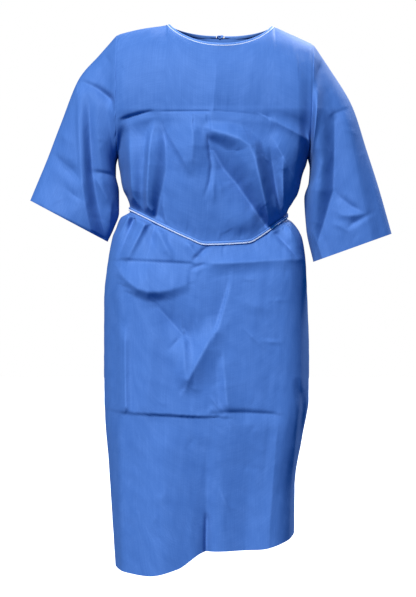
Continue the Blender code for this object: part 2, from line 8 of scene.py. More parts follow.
import bpy
import numpy as np
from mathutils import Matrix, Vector


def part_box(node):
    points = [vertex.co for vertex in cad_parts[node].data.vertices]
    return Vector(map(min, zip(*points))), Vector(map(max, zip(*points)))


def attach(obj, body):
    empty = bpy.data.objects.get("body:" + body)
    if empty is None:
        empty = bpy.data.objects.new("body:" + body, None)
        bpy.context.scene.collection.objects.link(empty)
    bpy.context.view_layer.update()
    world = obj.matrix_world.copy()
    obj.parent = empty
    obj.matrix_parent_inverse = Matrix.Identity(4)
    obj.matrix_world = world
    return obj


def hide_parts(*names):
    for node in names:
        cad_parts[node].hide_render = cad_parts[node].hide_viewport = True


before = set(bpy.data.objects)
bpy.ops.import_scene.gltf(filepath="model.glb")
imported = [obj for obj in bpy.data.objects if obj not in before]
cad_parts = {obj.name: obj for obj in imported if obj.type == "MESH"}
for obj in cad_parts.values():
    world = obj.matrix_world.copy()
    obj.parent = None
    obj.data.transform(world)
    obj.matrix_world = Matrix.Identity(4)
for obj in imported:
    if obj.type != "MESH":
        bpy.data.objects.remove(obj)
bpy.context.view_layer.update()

MILLIMETRE = 0.001

# Tape, and how it lies on the cloth
TAPE_WIDTH = 0.0074
TAPE_CLEAR = 0.0006
TAPE_PROUD = 0.0005
BELT_PROUD = 0.0004
BELT_KNOT = (0.018, 0.010, 0.011)
NECK_KNOT = (0.016, 0.009, 0.010)
NECK_KNOT_OUT = 0.0030
BELT_KNOT_OUT = 0.0041
KNOT_RUN = 0.03
KNOT_GAP = 0.0003
TAIL_CLEAR = 0.0008
NECK_TAILS = ((-0.022, 0.205), (0.016, 0.225))
BELT_TAILS = ((-0.030, 0.300), (0.024, 0.270))

# The body's form: belt band, chest line, underarm, armholes, neck and the lap behind
BELT_BAND = (2.96, 3.008)
FLARE_LEVEL = 3.025
SKIRT_BOXY = 1.3
CHEST_Z = -0.175
UNDERARM_Z = -0.266
ARMHOLE_MIDDLE_Z = -0.143
ARMHOLE_FRONT = 0.086
ARMHOLE_BACK = 0.074
NECK_X = 0.0152
NECK_HALF = 0.1022
NECK_FRONT = 0.080
NECK_BACK = 0.070
NECK_SCOOP = 0.047
NECK_SCOOP_BACK = 0.011
NECK_COVERED = 0.0052
NECK_CORNER = 1.4
LAP_SHARE = 0.34
LAP_FADE = 0.24
LAP_OFFSET = 0.0022

SECTION_COLUMNS = ("level", "x_right", "x_left", "y_front", "y_back")
SECTIONS = (
    (0.000, -0.1920, 0.2020, -0.1000, 0.0850),
    (1.000, -0.1920, 0.1950, -0.1190, 0.0980),
    (2.000, -0.1920, 0.1913, -0.1320, 0.1030),
    (2.350, -0.1872, 0.1793, -0.1332, 0.1020),
    (2.630, -0.1815, 0.1715, -0.1288, 0.0975),
    (2.800, -0.1730, 0.1600, -0.1246, 0.0930),
    (2.960, -0.1680, 0.1500, -0.1200, 0.0880),
    (3.008, -0.1680, 0.1500, -0.1200, 0.0880),
    (3.025, -0.1865, 0.1600, -0.1225, 0.0905),
    (3.055, -0.1955, 0.1740, -0.1265, 0.0950),
    (3.080, -0.2030, 0.1805, -0.1295, 0.0995),
    (3.150, -0.2121, 0.1868, -0.1340, 0.1100),
    (3.250, -0.2195, 0.1900, -0.1370, 0.1220),
    (3.450, -0.2200, 0.1940, -0.1380, 0.1290),
    (3.580, -0.2180, 0.1930, -0.1370, 0.1270),
    (3.700, -0.2110, 0.1800, -0.1350, 0.1240),
    (3.850, -0.2040, 0.1650, -0.1330, 0.1210),
    (4.000, -0.1970, 0.1640, -0.1300, 0.1180),
)
LINE_COLUMNS = ("x", "z")
SHOULDER_LINE = (
    (-0.1920, -0.0180),
    (-0.1475, -0.0075),
    (-0.1070, -0.0010),
    (-0.0870, 0.0020),
    (0.1174, -0.0020),
    (0.1556, -0.0172),
    (0.2020, -0.0384),
)
BELT_LINE = (
    (-0.1680, -0.3700),
    (-0.1045, -0.4040),
    (-0.0453, -0.4323),
    (-0.0160, -0.4433),
    (0.0680, -0.4392),
    (0.0957, -0.4241),
    (0.1220, -0.4046),
    (0.1530, -0.3818),
)
BELT_LINE_BACK = ((-0.1680, -0.3700), (0.0000, -0.3740), (0.1530, -0.3818))
HEM_LINE = (
    (-0.1970, -1.0860),
    (-0.1300, -1.0910),
    (-0.0700, -1.0770),
    (-0.0150, -1.0450),
    (0.0900, -1.0410),
    (0.1640, -1.0210),
)
HEM_LINE_BACK = ((-0.1970, -1.0860), (-0.0800, -1.0800), (0.0600, -1.0520), (0.1640, -1.0210))
RING_COLUMNS = ("top_x", "top_z", "bottom_x", "bottom_z", "y_front", "y_back", "widest")
SLEEVE_RIGHT_RINGS = (
    (-0.2303, -0.0606, -0.1960, -0.2830, -0.070, 0.070, 0.60),
    (-0.2687, -0.1051, -0.1960, -0.3030, -0.070, 0.066, 0.56),
    (-0.3050, -0.1940, -0.1895, -0.3350, -0.066, 0.056, 0.52),
    (-0.3353, -0.2748, -0.1890, -0.3760, -0.064, 0.044, 0.50),
    (-0.3515, -0.3142, -0.1990, -0.4080, -0.064, 0.040, 0.50),
    (-0.3676, -0.3536, -0.2121, -0.4364, -0.064, 0.036, 0.50),
)
SLEEVE_LEFT_RINGS = (
    (0.2363, -0.0889, 0.1955, -0.2880, -0.070, 0.070, 0.58),
    (0.2808, -0.1637, 0.1930, -0.3170, -0.070, 0.064, 0.55),
    (0.3091, -0.2505, 0.1840, -0.3500, -0.066, 0.054, 0.52),
    (0.3340, -0.3292, 0.1880, -0.4120, -0.062, 0.044, 0.50),
    (0.3596, -0.4202, 0.2020, -0.4768, -0.058, 0.038, 0.50),
)

# Creases and folds, drawn on a grid of about 2 mm squares seen from the front: u counts to the
# wearer's left, v down. A row is (how crisp its edge is, from 0 to 1, then its points). A point is
# (u, v, millimetres outward, squares it spreads to the left or below, squares to the right or above);
# on a line that runs down to the left, the last two are left or above, and right or below.
BODY_GRID = (213.2, 16.0, 0.00195)
SLEEVE_GRID = (213.1, 21.0, 0.00198)
FRONT_CREASES = (
    # The fullness at both sides, over which the cloth turns back
    (0.2, (124, 40, 0, 12, 30), (124, 90, 4, 12, 34), (126, 118, 4, 12, 34), (129, 134, 8, 12, 30),
     (130, 160, 12, 10, 26), (131, 190, 14, 7, 20), (134, 212, 10, 6, 14)),
    (0.2, (299, 50, 0, 34, 12), (299, 80, 6, 42, 12), (299, 110, 9, 42, 12), (299, 135, 11, 36, 11),
     (298, 155, 13, 30, 10), (294, 180, 13, 24, 8), (290, 203, 9, 18, 7)),
    (0.2, (294, 214, 10, 16, 8), (299, 226, 18, 20, 9), (303, 244, 20, 26, 9), (304, 262, 12, 40, 10),
     (301, 330, 13, 40, 10), (301, 390, 16, 36, 8), (296, 440, 18, 30, 7), (291, 500, 18, 28, 7),
     (289, 575, 18, 28, 7)),
    (0.2, (118, 262, 0, 9, 36), (120, 300, 6, 9, 40), (121, 400, 6, 9, 40), (122, 590, 6, 9, 40)),
    # The centre crease, and the chest crease across it
    (0.9, (218, 46, 0, 30, 24), (217, 60, 4.5, 34, 28), (214, 95, 6.5, 30, 26), (213, 111, 6, 28, 24),
     (212, 118, 0, 26, 22)),
    (1.0, (117, 118.5, -3, 8, 3), (128, 115.5, -6, 9, 4), (140, 112.5, -6, 9, 4), (150, 110.5, -3, 8, 3),
     (155, 110.5, 0, 8, 3)),
    (1.0, (154, 110.5, 0, 3, 2.2), (165, 110.8, -1.5, 3, 2.2), (190, 111.2, -2.2, 3, 2.2),
     (208, 111.4, -2.6, 3, 2.2), (212, 111.6, 0, 3, 2.2)),
    (1.0, (214, 111, -1.2, 3, 3), (240, 112.5, -0.8, 3, 3), (266, 115, 0, 3, 3)),
    (0.5, (126, 120, 0, 14, 6), (150, 117.5, 2.2, 18, 7), (208, 118, 2.6, 18, 7), (262, 121, 2.2, 16, 7),
     (274, 124, 0, 12, 6)),
    (1.0, (269, 117, 0, 22, 10), (276, 121, 8, 24, 11), (290, 128, 14, 28, 13), (302, 134, 16, 30, 15),
     (312, 138, 15, 30, 16)),
    # Gathers that run down to the belt
    (0.4, (130, 118, 0, 10, 14), (129, 134, 7, 10, 13), (129.5, 160, 13, 8, 12), (131, 186, 16, 7, 10),
     (133, 204, 14, 6, 8), (134, 214, 9, 6, 7)),
    (0.5, (155, 120, 0, 6, 8), (152, 130, 8, 7, 13), (150, 142, 15, 6, 17), (148.5, 165, 22, 6, 19),
     (147, 190, 25, 6, 16), (147.5, 212, 21, 6, 10), (147.5, 218, 17, 6, 8)),
    (0.7, (161, 121, 0, 3, 5), (164, 132, -6, 7, 10), (166, 150, -9, 12, 24), (166, 170, -9, 13, 32),
     (161, 193, -8, 11, 34), (156, 215, -7, 7, 28)),
    (0.9, (162, 123, 0, 6, 10), (168, 133, 3.5, 6, 14), (184, 161, 4.5, 6, 16), (191, 175, 0, 6, 12)),
    (0.8, (163, 192, 0, 5, 7), (163, 206, 4, 5, 7), (166, 224, 5, 5, 7)),
    (0.7, (193, 122, 0, 20, 10), (193, 132, 10, 24, 15), (193, 146, 12, 24, 16), (192, 160, 8, 22, 16),
     (191, 178, 0, 16, 12)),
    (1.0, (209, 111, 0, 4, 4), (207.6, 118, -3, 4, 5), (209.5, 127, -3, 4, 4), (208.4, 138, -5, 4, 5),
     (210.5, 158, -5, 4, 5), (211.8, 165, -4, 4, 4), (209.8, 182, -4.5, 4, 5), (203.8, 200, 0, 4, 5)),
    (0.9, (212, 176, 0, 4, 5), (213, 186, 2.4, 4, 5), (213.5, 196, 2.2, 4, 5), (213, 204, 0, 4, 5)),
    # The deep slant from the chest to the belt: its brow, its far bank and its bed
    (0.25, (208, 130, 0, 8, 6), (213, 131.5, 14, 11, 12), (226, 135, 22, 14, 15), (240, 140, 25, 19, 15),
     (250, 147, 26, 26, 14), (254.5, 160, 27, 28, 13), (259, 178, 25, 24, 12), (264, 200, 20, 15, 11),
     (270, 216, 13, 8, 9), (274, 228, 8, 8, 8)),
    (1.0, (211, 136, 0, 8, 8), (213, 150, -11, 12, 13), (223, 168, -20, 26, 21), (237, 184, -22, 32, 21),
     (252, 205, -18, 26, 14), (265, 223, -9, 14, 7), (268, 228, 0, 8, 6)),
    (0.2, (226, 230, 0, 10, 18), (236, 226, 3, 12, 24), (248, 219, 4, 12, 26), (258, 211, 3, 8, 20),
     (262, 206, 0, 6, 12)),
    (0.6, (274, 194, 0, 6, 3), (277, 206, 7, 9, 3), (281, 217, 9, 11, 3), (283, 224, 7, 11, 3)),
    (0.9, (254.5, 146, 0, 6, 12), (255, 152, 3, 5, 14), (257, 170, 6, 6, 15), (262.5, 192, 8, 6, 14),
     (270, 222, 8, 5, 10)),
    (0.6, (270, 146, 0, 8, 6), (272, 160, -6, 8, 7), (275, 180, -9, 7, 7), (279, 200, -7, 5, 5),
     (282, 214, 0, 4, 4)),
    (0.7, (272, 134, 0, 8, 14), (278, 147, 8, 9, 18), (288, 165, 11, 10, 18), (299, 184, 9, 9, 14)),
    (0.8, (283, 156, 0, 7, 6), (283, 168, 9, 8, 7), (283.5, 190, 12, 7, 7), (285.5, 212, 11, 6, 6)),
    # Gathers that run down and out from the belt
    (0.8, (130, 211, 10, 7, 5), (124, 222, 9, 8, 5), (117, 236, 4, 8, 6), (112, 247, 0, 8, 6)),
    (0.8, (134.5, 213, -11, 5, 6), (130, 224, -11, 5, 7), (125, 237, -7, 5, 8), (119, 252, -3, 5, 7),
     (117, 258, 0, 5, 7)),
    (0.8, (149, 217, 13, 13, 6), (143, 227, 13, 13, 6), (136, 241, 11, 12, 7), (128, 256, 6, 9, 7),
     (124, 262, 0, 8, 7)),
    (0.2, (153, 221, -5, 8, 8), (151, 240, -5, 8, 8), (149, 257, 0, 8, 8)),
    (0.3, (153, 222, 0, 10, 7), (158, 232, 6, 10, 7), (167, 249, 6, 10, 7), (173, 260, 0, 10, 7)),
    (0.5, (186, 237, 0, 10, 7), (190, 246, 5, 10, 7), (196, 255, 5, 10, 7), (199, 261, 0, 9, 7)),
    (1.0, (210, 243, 0, 4, 6), (206, 247.5, -5, 4, 7), (196, 257, -6, 4, 7), (192, 261.5, 0, 4, 6)),
    (0.9, (271, 229, 0, 6, 8), (276, 233, -6, 6, 9), (288, 245, -8, 6, 10), (296, 255, -5, 6, 9),
     (299, 259, 0, 6, 8)),
    (0.7, (283, 219, 6, 8, 6), (292, 230, 5, 9, 6), (301, 247, 0, 9, 6)),
    # The hip crease, and the swag under its left end
    (1.0, (115, 259.3, 0, 14, 2.6), (120, 259.8, -4, 16, 3), (150, 261.5, -4.6, 16, 3),
     (180, 263, -4.6, 14, 3), (191, 263.7, -3, 10, 3), (195, 264, 0, 8, 3)),
    (1.0, (206, 264, 0, 10, 12), (213, 263.5, 6, 12, 15), (232, 262.8, 10, 13, 18), (258, 261.2, 8, 13, 18),
     (275, 260, 5, 12, 16), (300, 258.5, 5, 12, 14), (308, 258, 4, 12, 14)),
    (1.0, (191, 269, 0, 4, 4), (194, 268, -4, 4, 4), (202, 265, -4, 4, 4), (207, 263.5, 0, 4, 4)),
    (0.6, (191, 265, 0, 4, 5), (191, 270, -1.5, 5, 6), (190.5, 280, -1.5, 5, 6), (190, 287, 0, 4, 5)),
    (0.5, (116, 268, 0, 9, 10), (120, 272.5, 6, 9, 14), (128, 281, 12, 9, 22), (138, 288.5, 15, 10, 28),
     (148, 291.5, 15, 11, 30), (159, 291.5, 13, 11, 28), (172, 289, 9, 11, 22), (184, 285, 4, 10, 16),
     (192, 282, 0, 9, 12)),
    (0.9, (147, 262, 0, 14, 14), (147, 269, 5, 16, 16), (147.3, 279, 5, 16, 18), (147.5, 289, 0, 12, 14)),
    # The hollow between the swag and the thigh, and the ridges round it
    (1.0, (149, 298, 0, 14, 14), (158, 307, -8, 20, 20), (170, 320, -13, 26, 27), (183, 335, -15, 28, 32),
     (186, 342, -9, 24, 26), (188, 352, 0, 18, 18)),
    (0.7, (183, 331, 0, 18, 8), (184, 340, 7, 24, 8), (184.5, 352, 9, 24, 9), (185, 368, 8, 20, 9),
     (187, 380, 4, 14, 9), (188, 388, 0, 12, 9)),
    (1.0, (181, 336, 0, 4, 5), (176, 342, -3, 4, 5), (168, 351, 0, 4, 5)),
    (1.0, (231, 275, 0, 12, 3), (228, 284, -3, 22, 3), (224, 299, -5, 30, 3), (219, 316, -6, 30, 3),
     (216, 326, -5, 24, 3), (214, 333, 0, 16, 3)),
    (1.0, (218, 325, 0, 14, 12), (214, 332, 9, 18, 18), (205, 348, 15, 21, 26), (196, 364, 16, 20, 27),
     (189, 378, 13, 17, 22), (185, 386, 0, 12, 16)),
    (0.9, (222.5, 356, 0, 7, 14), (223.5, 366, 6, 8, 20), (225, 386, 10, 9, 24), (227, 404, 10, 10, 24),
     (228, 412, 5, 10, 20)),
    (1.0, (209, 394, 0, 3, 5), (214, 400, 2.4, 4, 5), (219, 407, 2.4, 4, 4), (222, 413, 0, 3, 4)),
    (1.0, (208, 404, 0, 3, 3), (213, 409, 1.8, 3, 4), (217, 414, 0, 3, 3)),
    (0.3, (150, 308, 0, 16, 18), (152, 340, 4, 18, 22), (150, 380, 5, 18, 24), (147, 404, 3, 16, 20),
     (146, 412, 0, 16, 20)),
    (0.8, (125, 322, 0, 9, 8), (125, 340, 7, 10, 7), (125.5, 380, 8, 10, 6), (126, 407, 8, 10, 6),
     (126, 412, 0, 9, 8)),
    (0.9, (238, 322, 0, 5, 6), (252, 336, 2.1, 5, 6), (270, 353, 0, 5, 6)),
    (0.9, (258, 340, 0, 5, 4), (272, 341.5, 2, 5, 4), (284, 342, 0, 5, 4)),
    (0.5, (238, 300, 0, 12, 12), (256, 306, 2.6, 12, 12), (280, 312, 0, 12, 12)),
    # The thigh crease
    (1.0, (110, 410.8, 0, 3, 20), (116, 411, 2, 3, 34), (130, 412, 4, 3, 50), (150, 412.6, 5.5, 3, 60),
     (168, 413, 6.4, 3.3, 64), (190, 414.4, 6.4, 3.3, 60), (205, 415, 5, 3.3, 40), (212, 416, 0, 3, 24)),
    (1.0, (213, 413, 0, 12, 4), (225, 411.6, -4, 18, 5), (245, 412, -6, 20, 6), (262, 413, -5, 18, 5),
     (273, 413.6, -3, 14, 4), (279, 414, 0, 11, 4)),
    # The long upright folds of the skirt
    (0.8, (279, 418, 0, 10, 14), (276, 440, 4, 11, 18), (273, 480, 5, 11, 20), (270, 520, 5, 11, 20),
     (268, 570, 3, 11, 20)),
    (0.4, (296, 378, 0, 8, 6), (302, 394, -7, 9, 6), (304, 410, -8, 9, 6), (303, 426, -7, 8, 6),
     (299, 446, 0, 8, 6)),
    (0.7, (206, 436, 0, 18, 14), (206.5, 470, -5, 22, 16), (206.5, 500, -9, 20, 17),
     (206.5, 516, -12, 18, 18), (206, 540, -15, 16, 20), (206, 575, -18, 15, 22)),
    (1.0, (206.5, 512, 0, 4, 6), (206.5, 519, -5.5, 4, 7), (206, 540, -8, 4, 8), (206, 575, -9, 4, 9)),
    (0.1, (166, 422, 0, 26, 30), (165, 450, 6, 28, 32), (162, 500, 10, 30, 34), (160, 590, 11, 30, 34)),
    (0.4, (117, 418, 0, 8, 11), (118, 450, 5, 8, 12), (119, 520, 6, 8, 12), (121, 590, 6, 8, 12)),
    (0.1, (246, 424, 0, 30, 22), (247, 470, -9, 36, 24), (246, 520, -13, 36, 22), (244, 575, -13, 34, 22)),
    (0.9, (219, 486, 0, 5, 5), (224, 499, 2, 5, 5), (232, 518, 0, 5, 5)),
)
BACK_CREASES = (
    # The packing creases
    (0.9, (258, 44, 0, 26, 24), (259, 70, 5.6, 28, 26), (260, 100, 7, 26, 26), (260, 112, 4.2, 24, 24),
     (260, 120, 0, 22, 22)),
    (0.9, (166, 40, 0, 24, 26), (166, 74, 4.2, 26, 28), (165, 104, 5.6, 26, 26), (165, 116, 0, 24, 24)),
    (1.0, (116, 114, -2.8, 9, 5), (150, 112, -7, 10, 5), (186, 111, -7, 10, 5), (222, 112, -4.2, 9, 5),
     (240, 113, 0, 8, 5)),
    (1.0, (243, 113, 0, 12, 10), (256, 112.5, 7, 14, 12), (282, 114, 9.8, 16, 14), (312, 117, 8.4, 16, 14)),
    (1.0, (112, 262, 0, 14, 12), (122, 262, 8.4, 15, 16), (160, 261, 11.2, 15, 18), (196, 262, 9.8, 14, 16),
     (214, 262.5, 0, 13, 13)),
    (1.0, (216, 263, 0, 12, 6), (232, 263, -7, 13, 6), (262, 262, -8.4, 13, 6), (292, 261, -7, 12, 5),
     (312, 260, 0, 10, 5)),
    (1.0, (108, 413, 0, 10, 9), (124, 412.6, -8.4, 13, 10), (158, 412, -11.2, 14, 11),
     (190, 412.6, -9.8, 13, 10), (206, 413, 0, 12, 9)),
    (1.0, (207, 413, 0, 7, 18), (222, 413.4, 11.2, 8, 24), (252, 414.4, 16.8, 8, 28), (284, 415, 12.6, 8, 24),
     (306, 415, 0, 7, 18)),
    # Gathers that run down to the belt
    (0.6, (136, 124, 0, 9, 12), (137, 146, 7, 9, 13), (139, 172, 12.6, 8, 12), (141, 204, 14, 7, 9)),
    (0.5, (152, 130, 0, 10, 10), (152, 150, -5.6, 10, 10), (151, 176, -8.4, 8, 9), (150, 204, -9.8, 6, 7)),
    (0.7, (171, 128, 0, 14, 12), (170, 148, 8.4, 14, 14), (166, 176, 12.6, 12, 12), (163, 204, 12.6, 8, 8)),
    (0.5, (189, 142, 0, 10, 12), (188, 160, -5.6, 10, 12), (185, 182, -7, 8, 10), (183, 205, -8.4, 6, 8)),
    (0.7, (232, 134, 0, 16, 14), (231, 152, 8.4, 16, 15), (228, 178, 12.6, 12, 12), (226, 205, 12.6, 8, 9)),
    (0.5, (248, 136, 0, 10, 10), (247, 158, -7, 10, 10), (245, 180, -8.4, 9, 9), (243, 206, -9.8, 7, 7)),
    (0.6, (268, 122, 0, 12, 10), (266, 144, 7, 12, 10), (262, 172, 12.6, 10, 9), (258, 206, 14, 8, 7)),
    (0.8, (286, 140, 0, 10, 8), (284, 160, 8.4, 11, 8), (280, 182, 12.6, 10, 7), (276, 208, 14, 8, 6)),
    (0.9, (203, 150, 0, 6, 8), (207, 163, 3.5, 6, 8), (216, 184, 3.5, 6, 8), (220, 196, 0, 6, 8)),
    # Gathers that run down and out from the belt
    (0.7, (140, 213, 12.6, 10, 7), (135, 226, 11.2, 11, 7), (128, 242, 7, 11, 7), (122, 256, 0, 10, 7)),
    (0.6, (151, 213, -9.8, 6, 7), (147, 226, -8.4, 6, 8), (142, 242, -4.2, 7, 8), (138, 256, 0, 7, 8)),
    (0.7, (164, 213, 11.2, 9, 8), (161, 226, 11.2, 10, 8), (156, 242, 7, 10, 9), (152, 256, 0, 10, 9)),
    (0.5, (182, 213, -7, 7, 8), (181, 228, -7, 8, 9), (179, 248, 0, 8, 9)),
    (0.7, (226, 213, 11.2, 9, 8), (229, 228, 9.8, 10, 9), (233, 246, 5.6, 10, 9), (236, 258, 0, 10, 9)),
    (0.5, (244, 213, -8.4, 8, 6), (248, 228, -7, 9, 7), (253, 246, 0, 9, 7)),
    (0.7, (258, 214, 12.6, 9, 8), (264, 228, 11.2, 10, 8), (271, 244, 7, 10, 9), (277, 257, 0, 10, 9)),
    (0.6, (277, 214, 11.2, 8, 8), (284, 228, 9.8, 9, 8), (292, 246, 0, 9, 8)),
    # Slants between the hip crease and the thigh crease, and the skirt's upright folds
    (0.9, (150, 276, 0, 16, 20), (158, 296, 8.4, 20, 26), (170, 322, 14, 24, 30), (178, 346, 15.4, 22, 22),
     (180, 376, 11.2, 18, 16), (181, 398, 0, 16, 14)),
    (1.0, (252, 272, 0, 11, 13), (247, 288, -7, 12, 14), (238, 316, -11.2, 13, 16), (232, 336, -9.8, 13, 15),
     (229, 346, 0, 12, 14)),
    (0.9, (231, 340, 0, 16, 20), (226, 352, 9.8, 17, 24), (215, 374, 12.6, 16, 24), (207, 392, 8.4, 14, 20),
     (203, 402, 0, 12, 18)),
    (0.5, (284, 282, 0, 14, 12), (280, 310, 7, 16, 14), (276, 350, 8.4, 16, 14), (274, 392, 0, 14, 12)),
    (0.4, (136, 300, 0, 14, 12), (134, 340, 7, 16, 14), (133, 392, 0, 14, 12)),
    (0.4, (142, 420, 0, 20, 24), (141, 460, 11.2, 24, 28), (138, 510, 14, 26, 30), (136, 595, 14, 26, 30)),
    (0.5, (186, 424, 0, 18, 16), (186, 470, -8.4, 20, 18), (184, 520, -12.6, 20, 18),
     (183, 595, -14, 20, 18)),
    (0.4, (230, 420, 0, 22, 20), (231, 460, 9.8, 24, 22), (232, 510, 12.6, 24, 22), (233, 580, 12.6, 24, 22)),
    (0.5, (262, 432, 0, 16, 14), (262, 470, -7, 18, 15), (260, 520, -8.4, 18, 15), (259, 575, -8.4, 18, 15)),
    (0.5, (286, 420, 0, 16, 12), (284, 450, 8.4, 18, 14), (281, 500, 9.8, 18, 14), (278, 570, 8.4, 16, 12)),
)
SLEEVE_FRONT_CREASES = (
    # The wearer's right sleeve
    (1.0, (77, 77, 0, 12, 4), (84, 81, -6, 14, 4), (97, 88, -9, 15, 5), (108, 96, -10, 14, 5),
     (119, 105, -9, 12, 5)),
    (1.0, (100, 90, 0, 7, 4), (110, 99, -4, 8, 4), (119, 109, -4, 8, 4)),
    (0.5, (77, 82, 0, 20, 9), (77, 95, 9, 25, 10), (79, 130, 14, 26, 11), (82, 180, 15, 26, 11),
     (86, 208, 14, 26, 10), (92, 236, 10, 24, 10)),
    (0.5, (75, 88, 0, 6, 6), (74, 108, -4, 10, 8), (75, 140, -6, 12, 9), (77, 168, -5, 12, 9),
     (79, 190, 0, 9, 7)),
    (0.6, (88, 92, 0, 7, 9), (89, 110, -5, 8, 9), (90, 140, -8, 8, 9), (92, 172, -9, 8, 10),
     (97, 205, -9, 9, 12), (104, 236, -6, 9, 11)),
    (1.0, (90, 171, 0, 9, 3), (98, 172.5, -5, 10, 4), (112, 174.5, -5, 10, 4), (119, 175, 0, 8, 4)),
    (0.9, (92, 174, 0, 9, 8), (99, 184, 5, 10, 8), (107, 198, 5, 10, 8), (113, 207, 0, 9, 8)),
    (0.8, (47, 149, 0, 12, 7), (60, 160, -6, 14, 8), (72, 171, -7, 14, 8), (83, 184, 0, 12, 8)),
    (0.7, (53, 158, 0, 7, 5), (66, 171, -3, 8, 5), (80, 185, 0, 8, 5)),
    (0.3, (26, 196, 0, 8, 20), (46, 208, 8, 9, 28), (70, 220, 11, 9, 30), (90, 230, 8, 9, 26),
     (98, 236, 0, 8, 20)),
    (0.9, (112, 196, 0, 8, 5), (110, 212, 7, 8, 5), (108, 246, 8, 8, 5)),
    (0.8, (98, 46, 0, 6, 6), (106, 58, -3, 6, 6), (115, 72, 0, 6, 6)),
    (0.7, (52, 128, 0, 8, 8), (62, 136, 3, 8, 8), (74, 146, 0, 8, 8)),
    (0.8, (62, 186, 0, 5, 6), (74, 196, -2.5, 5, 6), (86, 204, 0, 5, 6)),
    # The wearer's left sleeve: the inner half turns away from the light, the outer half faces it
    (0.3, (312, 70, 0, 6, 14), (313, 90, 10, 6, 20), (313, 112, 24, 5, 22), (313, 150, 34, 5, 22),
     (311, 190, 34, 5, 23), (308, 220, 26, 5, 19), (306, 246, 14, 5, 13), (304, 262, 8, 5, 11)),
    (0.9, (333, 108, 0, 12, 16), (335, 122, -7, 14, 20), (335, 150, -11, 15, 24), (334, 190, -12, 16, 26),
     (327, 215, -11, 14, 24), (319, 242, -9, 9, 20), (315, 262, -6, 7, 16)),
    (0.2, (342, 104, 0, 20, 10), (348, 122, 5, 22, 11), (355, 160, 7, 26, 12), (363, 200, 8, 28, 13),
     (371, 236, 7, 28, 13), (375, 250, 7, 28, 13)),
    (0.8, (325, 56, 0, 7, 9), (320, 68, -6, 8, 12), (314, 82, -7, 9, 14), (311, 92, 0, 9, 12)),
    (1.0, (355, 105.5, 0, 4, 9), (346, 109, -3, 4, 10), (336, 113.5, -3, 4, 10), (328, 117, 0, 4, 9)),
    (0.9, (326, 108, 0, 5, 6), (331, 114, 4, 6, 6), (336, 119, 0, 5, 6)),
    (0.9, (322, 140, 0, 5, 4), (330, 152, 2.2, 5, 4), (334, 162, 0, 5, 4)),
    (0.9, (333, 189, 0, 8, 6), (341, 198, -4, 10, 7), (351, 206, -5, 10, 7), (362, 212, -3, 8, 6),
     (368, 215, 0, 8, 6)),
    (0.9, (337, 216, 0, 6, 8), (350, 216, 4, 7, 9), (362, 214.5, 3, 7, 8), (370, 213, 0, 6, 8)),
    (1.0, (378, 211, 0, 8, 4), (366, 217, -4, 9, 4), (354, 224, -5, 9, 5), (346, 230, 0, 8, 4)),
    (0.8, (330, 223, 0, 5, 6), (340, 226, 2.5, 6, 6), (352, 233, 0, 5, 6)),
    (0.8, (314, 230, 0, 5, 8), (318, 242, 6, 5, 9), (323, 258, 7, 5, 9), (327, 274, 6, 5, 9)),
    (0.7, (342, 128, 0, 5, 5), (352, 131, 1.8, 5, 5), (362, 136, 0, 5, 5)),
)
SLEEVE_BACK_CREASES = (
    # The wearer's right sleeve
    (0.9, (76, 84, 0, 10, 6), (92, 92, -7, 11, 6), (108, 99, -8.4, 11, 6), (118, 106, -7, 10, 6)),
    (0.5, (84, 90, 0, 16, 10), (82, 130, 9.8, 18, 12), (80, 180, 11.2, 18, 12), (80, 235, 11.2, 18, 12)),
    (0.6, (64, 116, 0, 10, 10), (60, 150, -5.6, 11, 11), (58, 190, -7, 11, 11), (60, 226, -5.6, 10, 10)),
    (0.8, (118, 150, 0, 8, 8), (104, 170, 5.6, 9, 9), (92, 190, 5.6, 9, 9), (84, 204, 0, 8, 8)),
    (0.7, (110, 186, 0, 8, 6), (106, 208, 7, 8, 6), (104, 246, 7, 8, 6)),
    # The wearer's left sleeve
    (0.9, (352, 112, 0, 7, 9), (338, 117, -7, 7, 10), (322, 123, -7, 7, 10), (312, 127, 0, 6, 8)),
    (0.6, (340, 106, 0, 14, 14), (343, 140, 9.8, 15, 15), (346, 190, 11.2, 15, 15), (350, 240, 9.8, 14, 14),
     (352, 270, 8.4, 14, 14)),
    (0.5, (325, 120, 0, 10, 9), (326, 160, -8.4, 11, 9), (324, 200, -9.8, 10, 9), (322, 244, 0, 9, 8)),
    (0.8, (362, 150, 0, 8, 8), (352, 172, 5.6, 9, 9), (340, 194, 5.6, 9, 9), (330, 210, 0, 8, 8)),
    (0.7, (366, 196, 0, 8, 6), (370, 222, 5.6, 8, 6), (376, 250, 5.6, 8, 6)),
)

# The small uneven creases between these: how many, the box of the grid they are strewn over, and the
# seed. Then the turns they lie at, the ranges of their length and width in squares and of their
# millimetres outward, and how far they bend
FRONT_SMALL = (70, (120, 60, 300, 540), 5)
BACK_SMALL = (80, (118, 60, 302, 545), 17)
SLEEVE_SMALL = 22
SLEEVE_RIGHT_BOX = (40, 60, 112, 226)
SLEEVE_LEFT_BOX = (318, 70, 384, 250)
SMALL_CRISP = 0.9
SMALL_TURNS = (0.0, 0.5, 0.5, 0.25, 0.75)
SMALL_TURN_SPREAD = 0.22
SMALL_LENGTH = (8, 30)
SMALL_WIDTH = (3, 7)
SMALL_OUT = (0.4, 1.3)
SMALL_BEND = 1.5

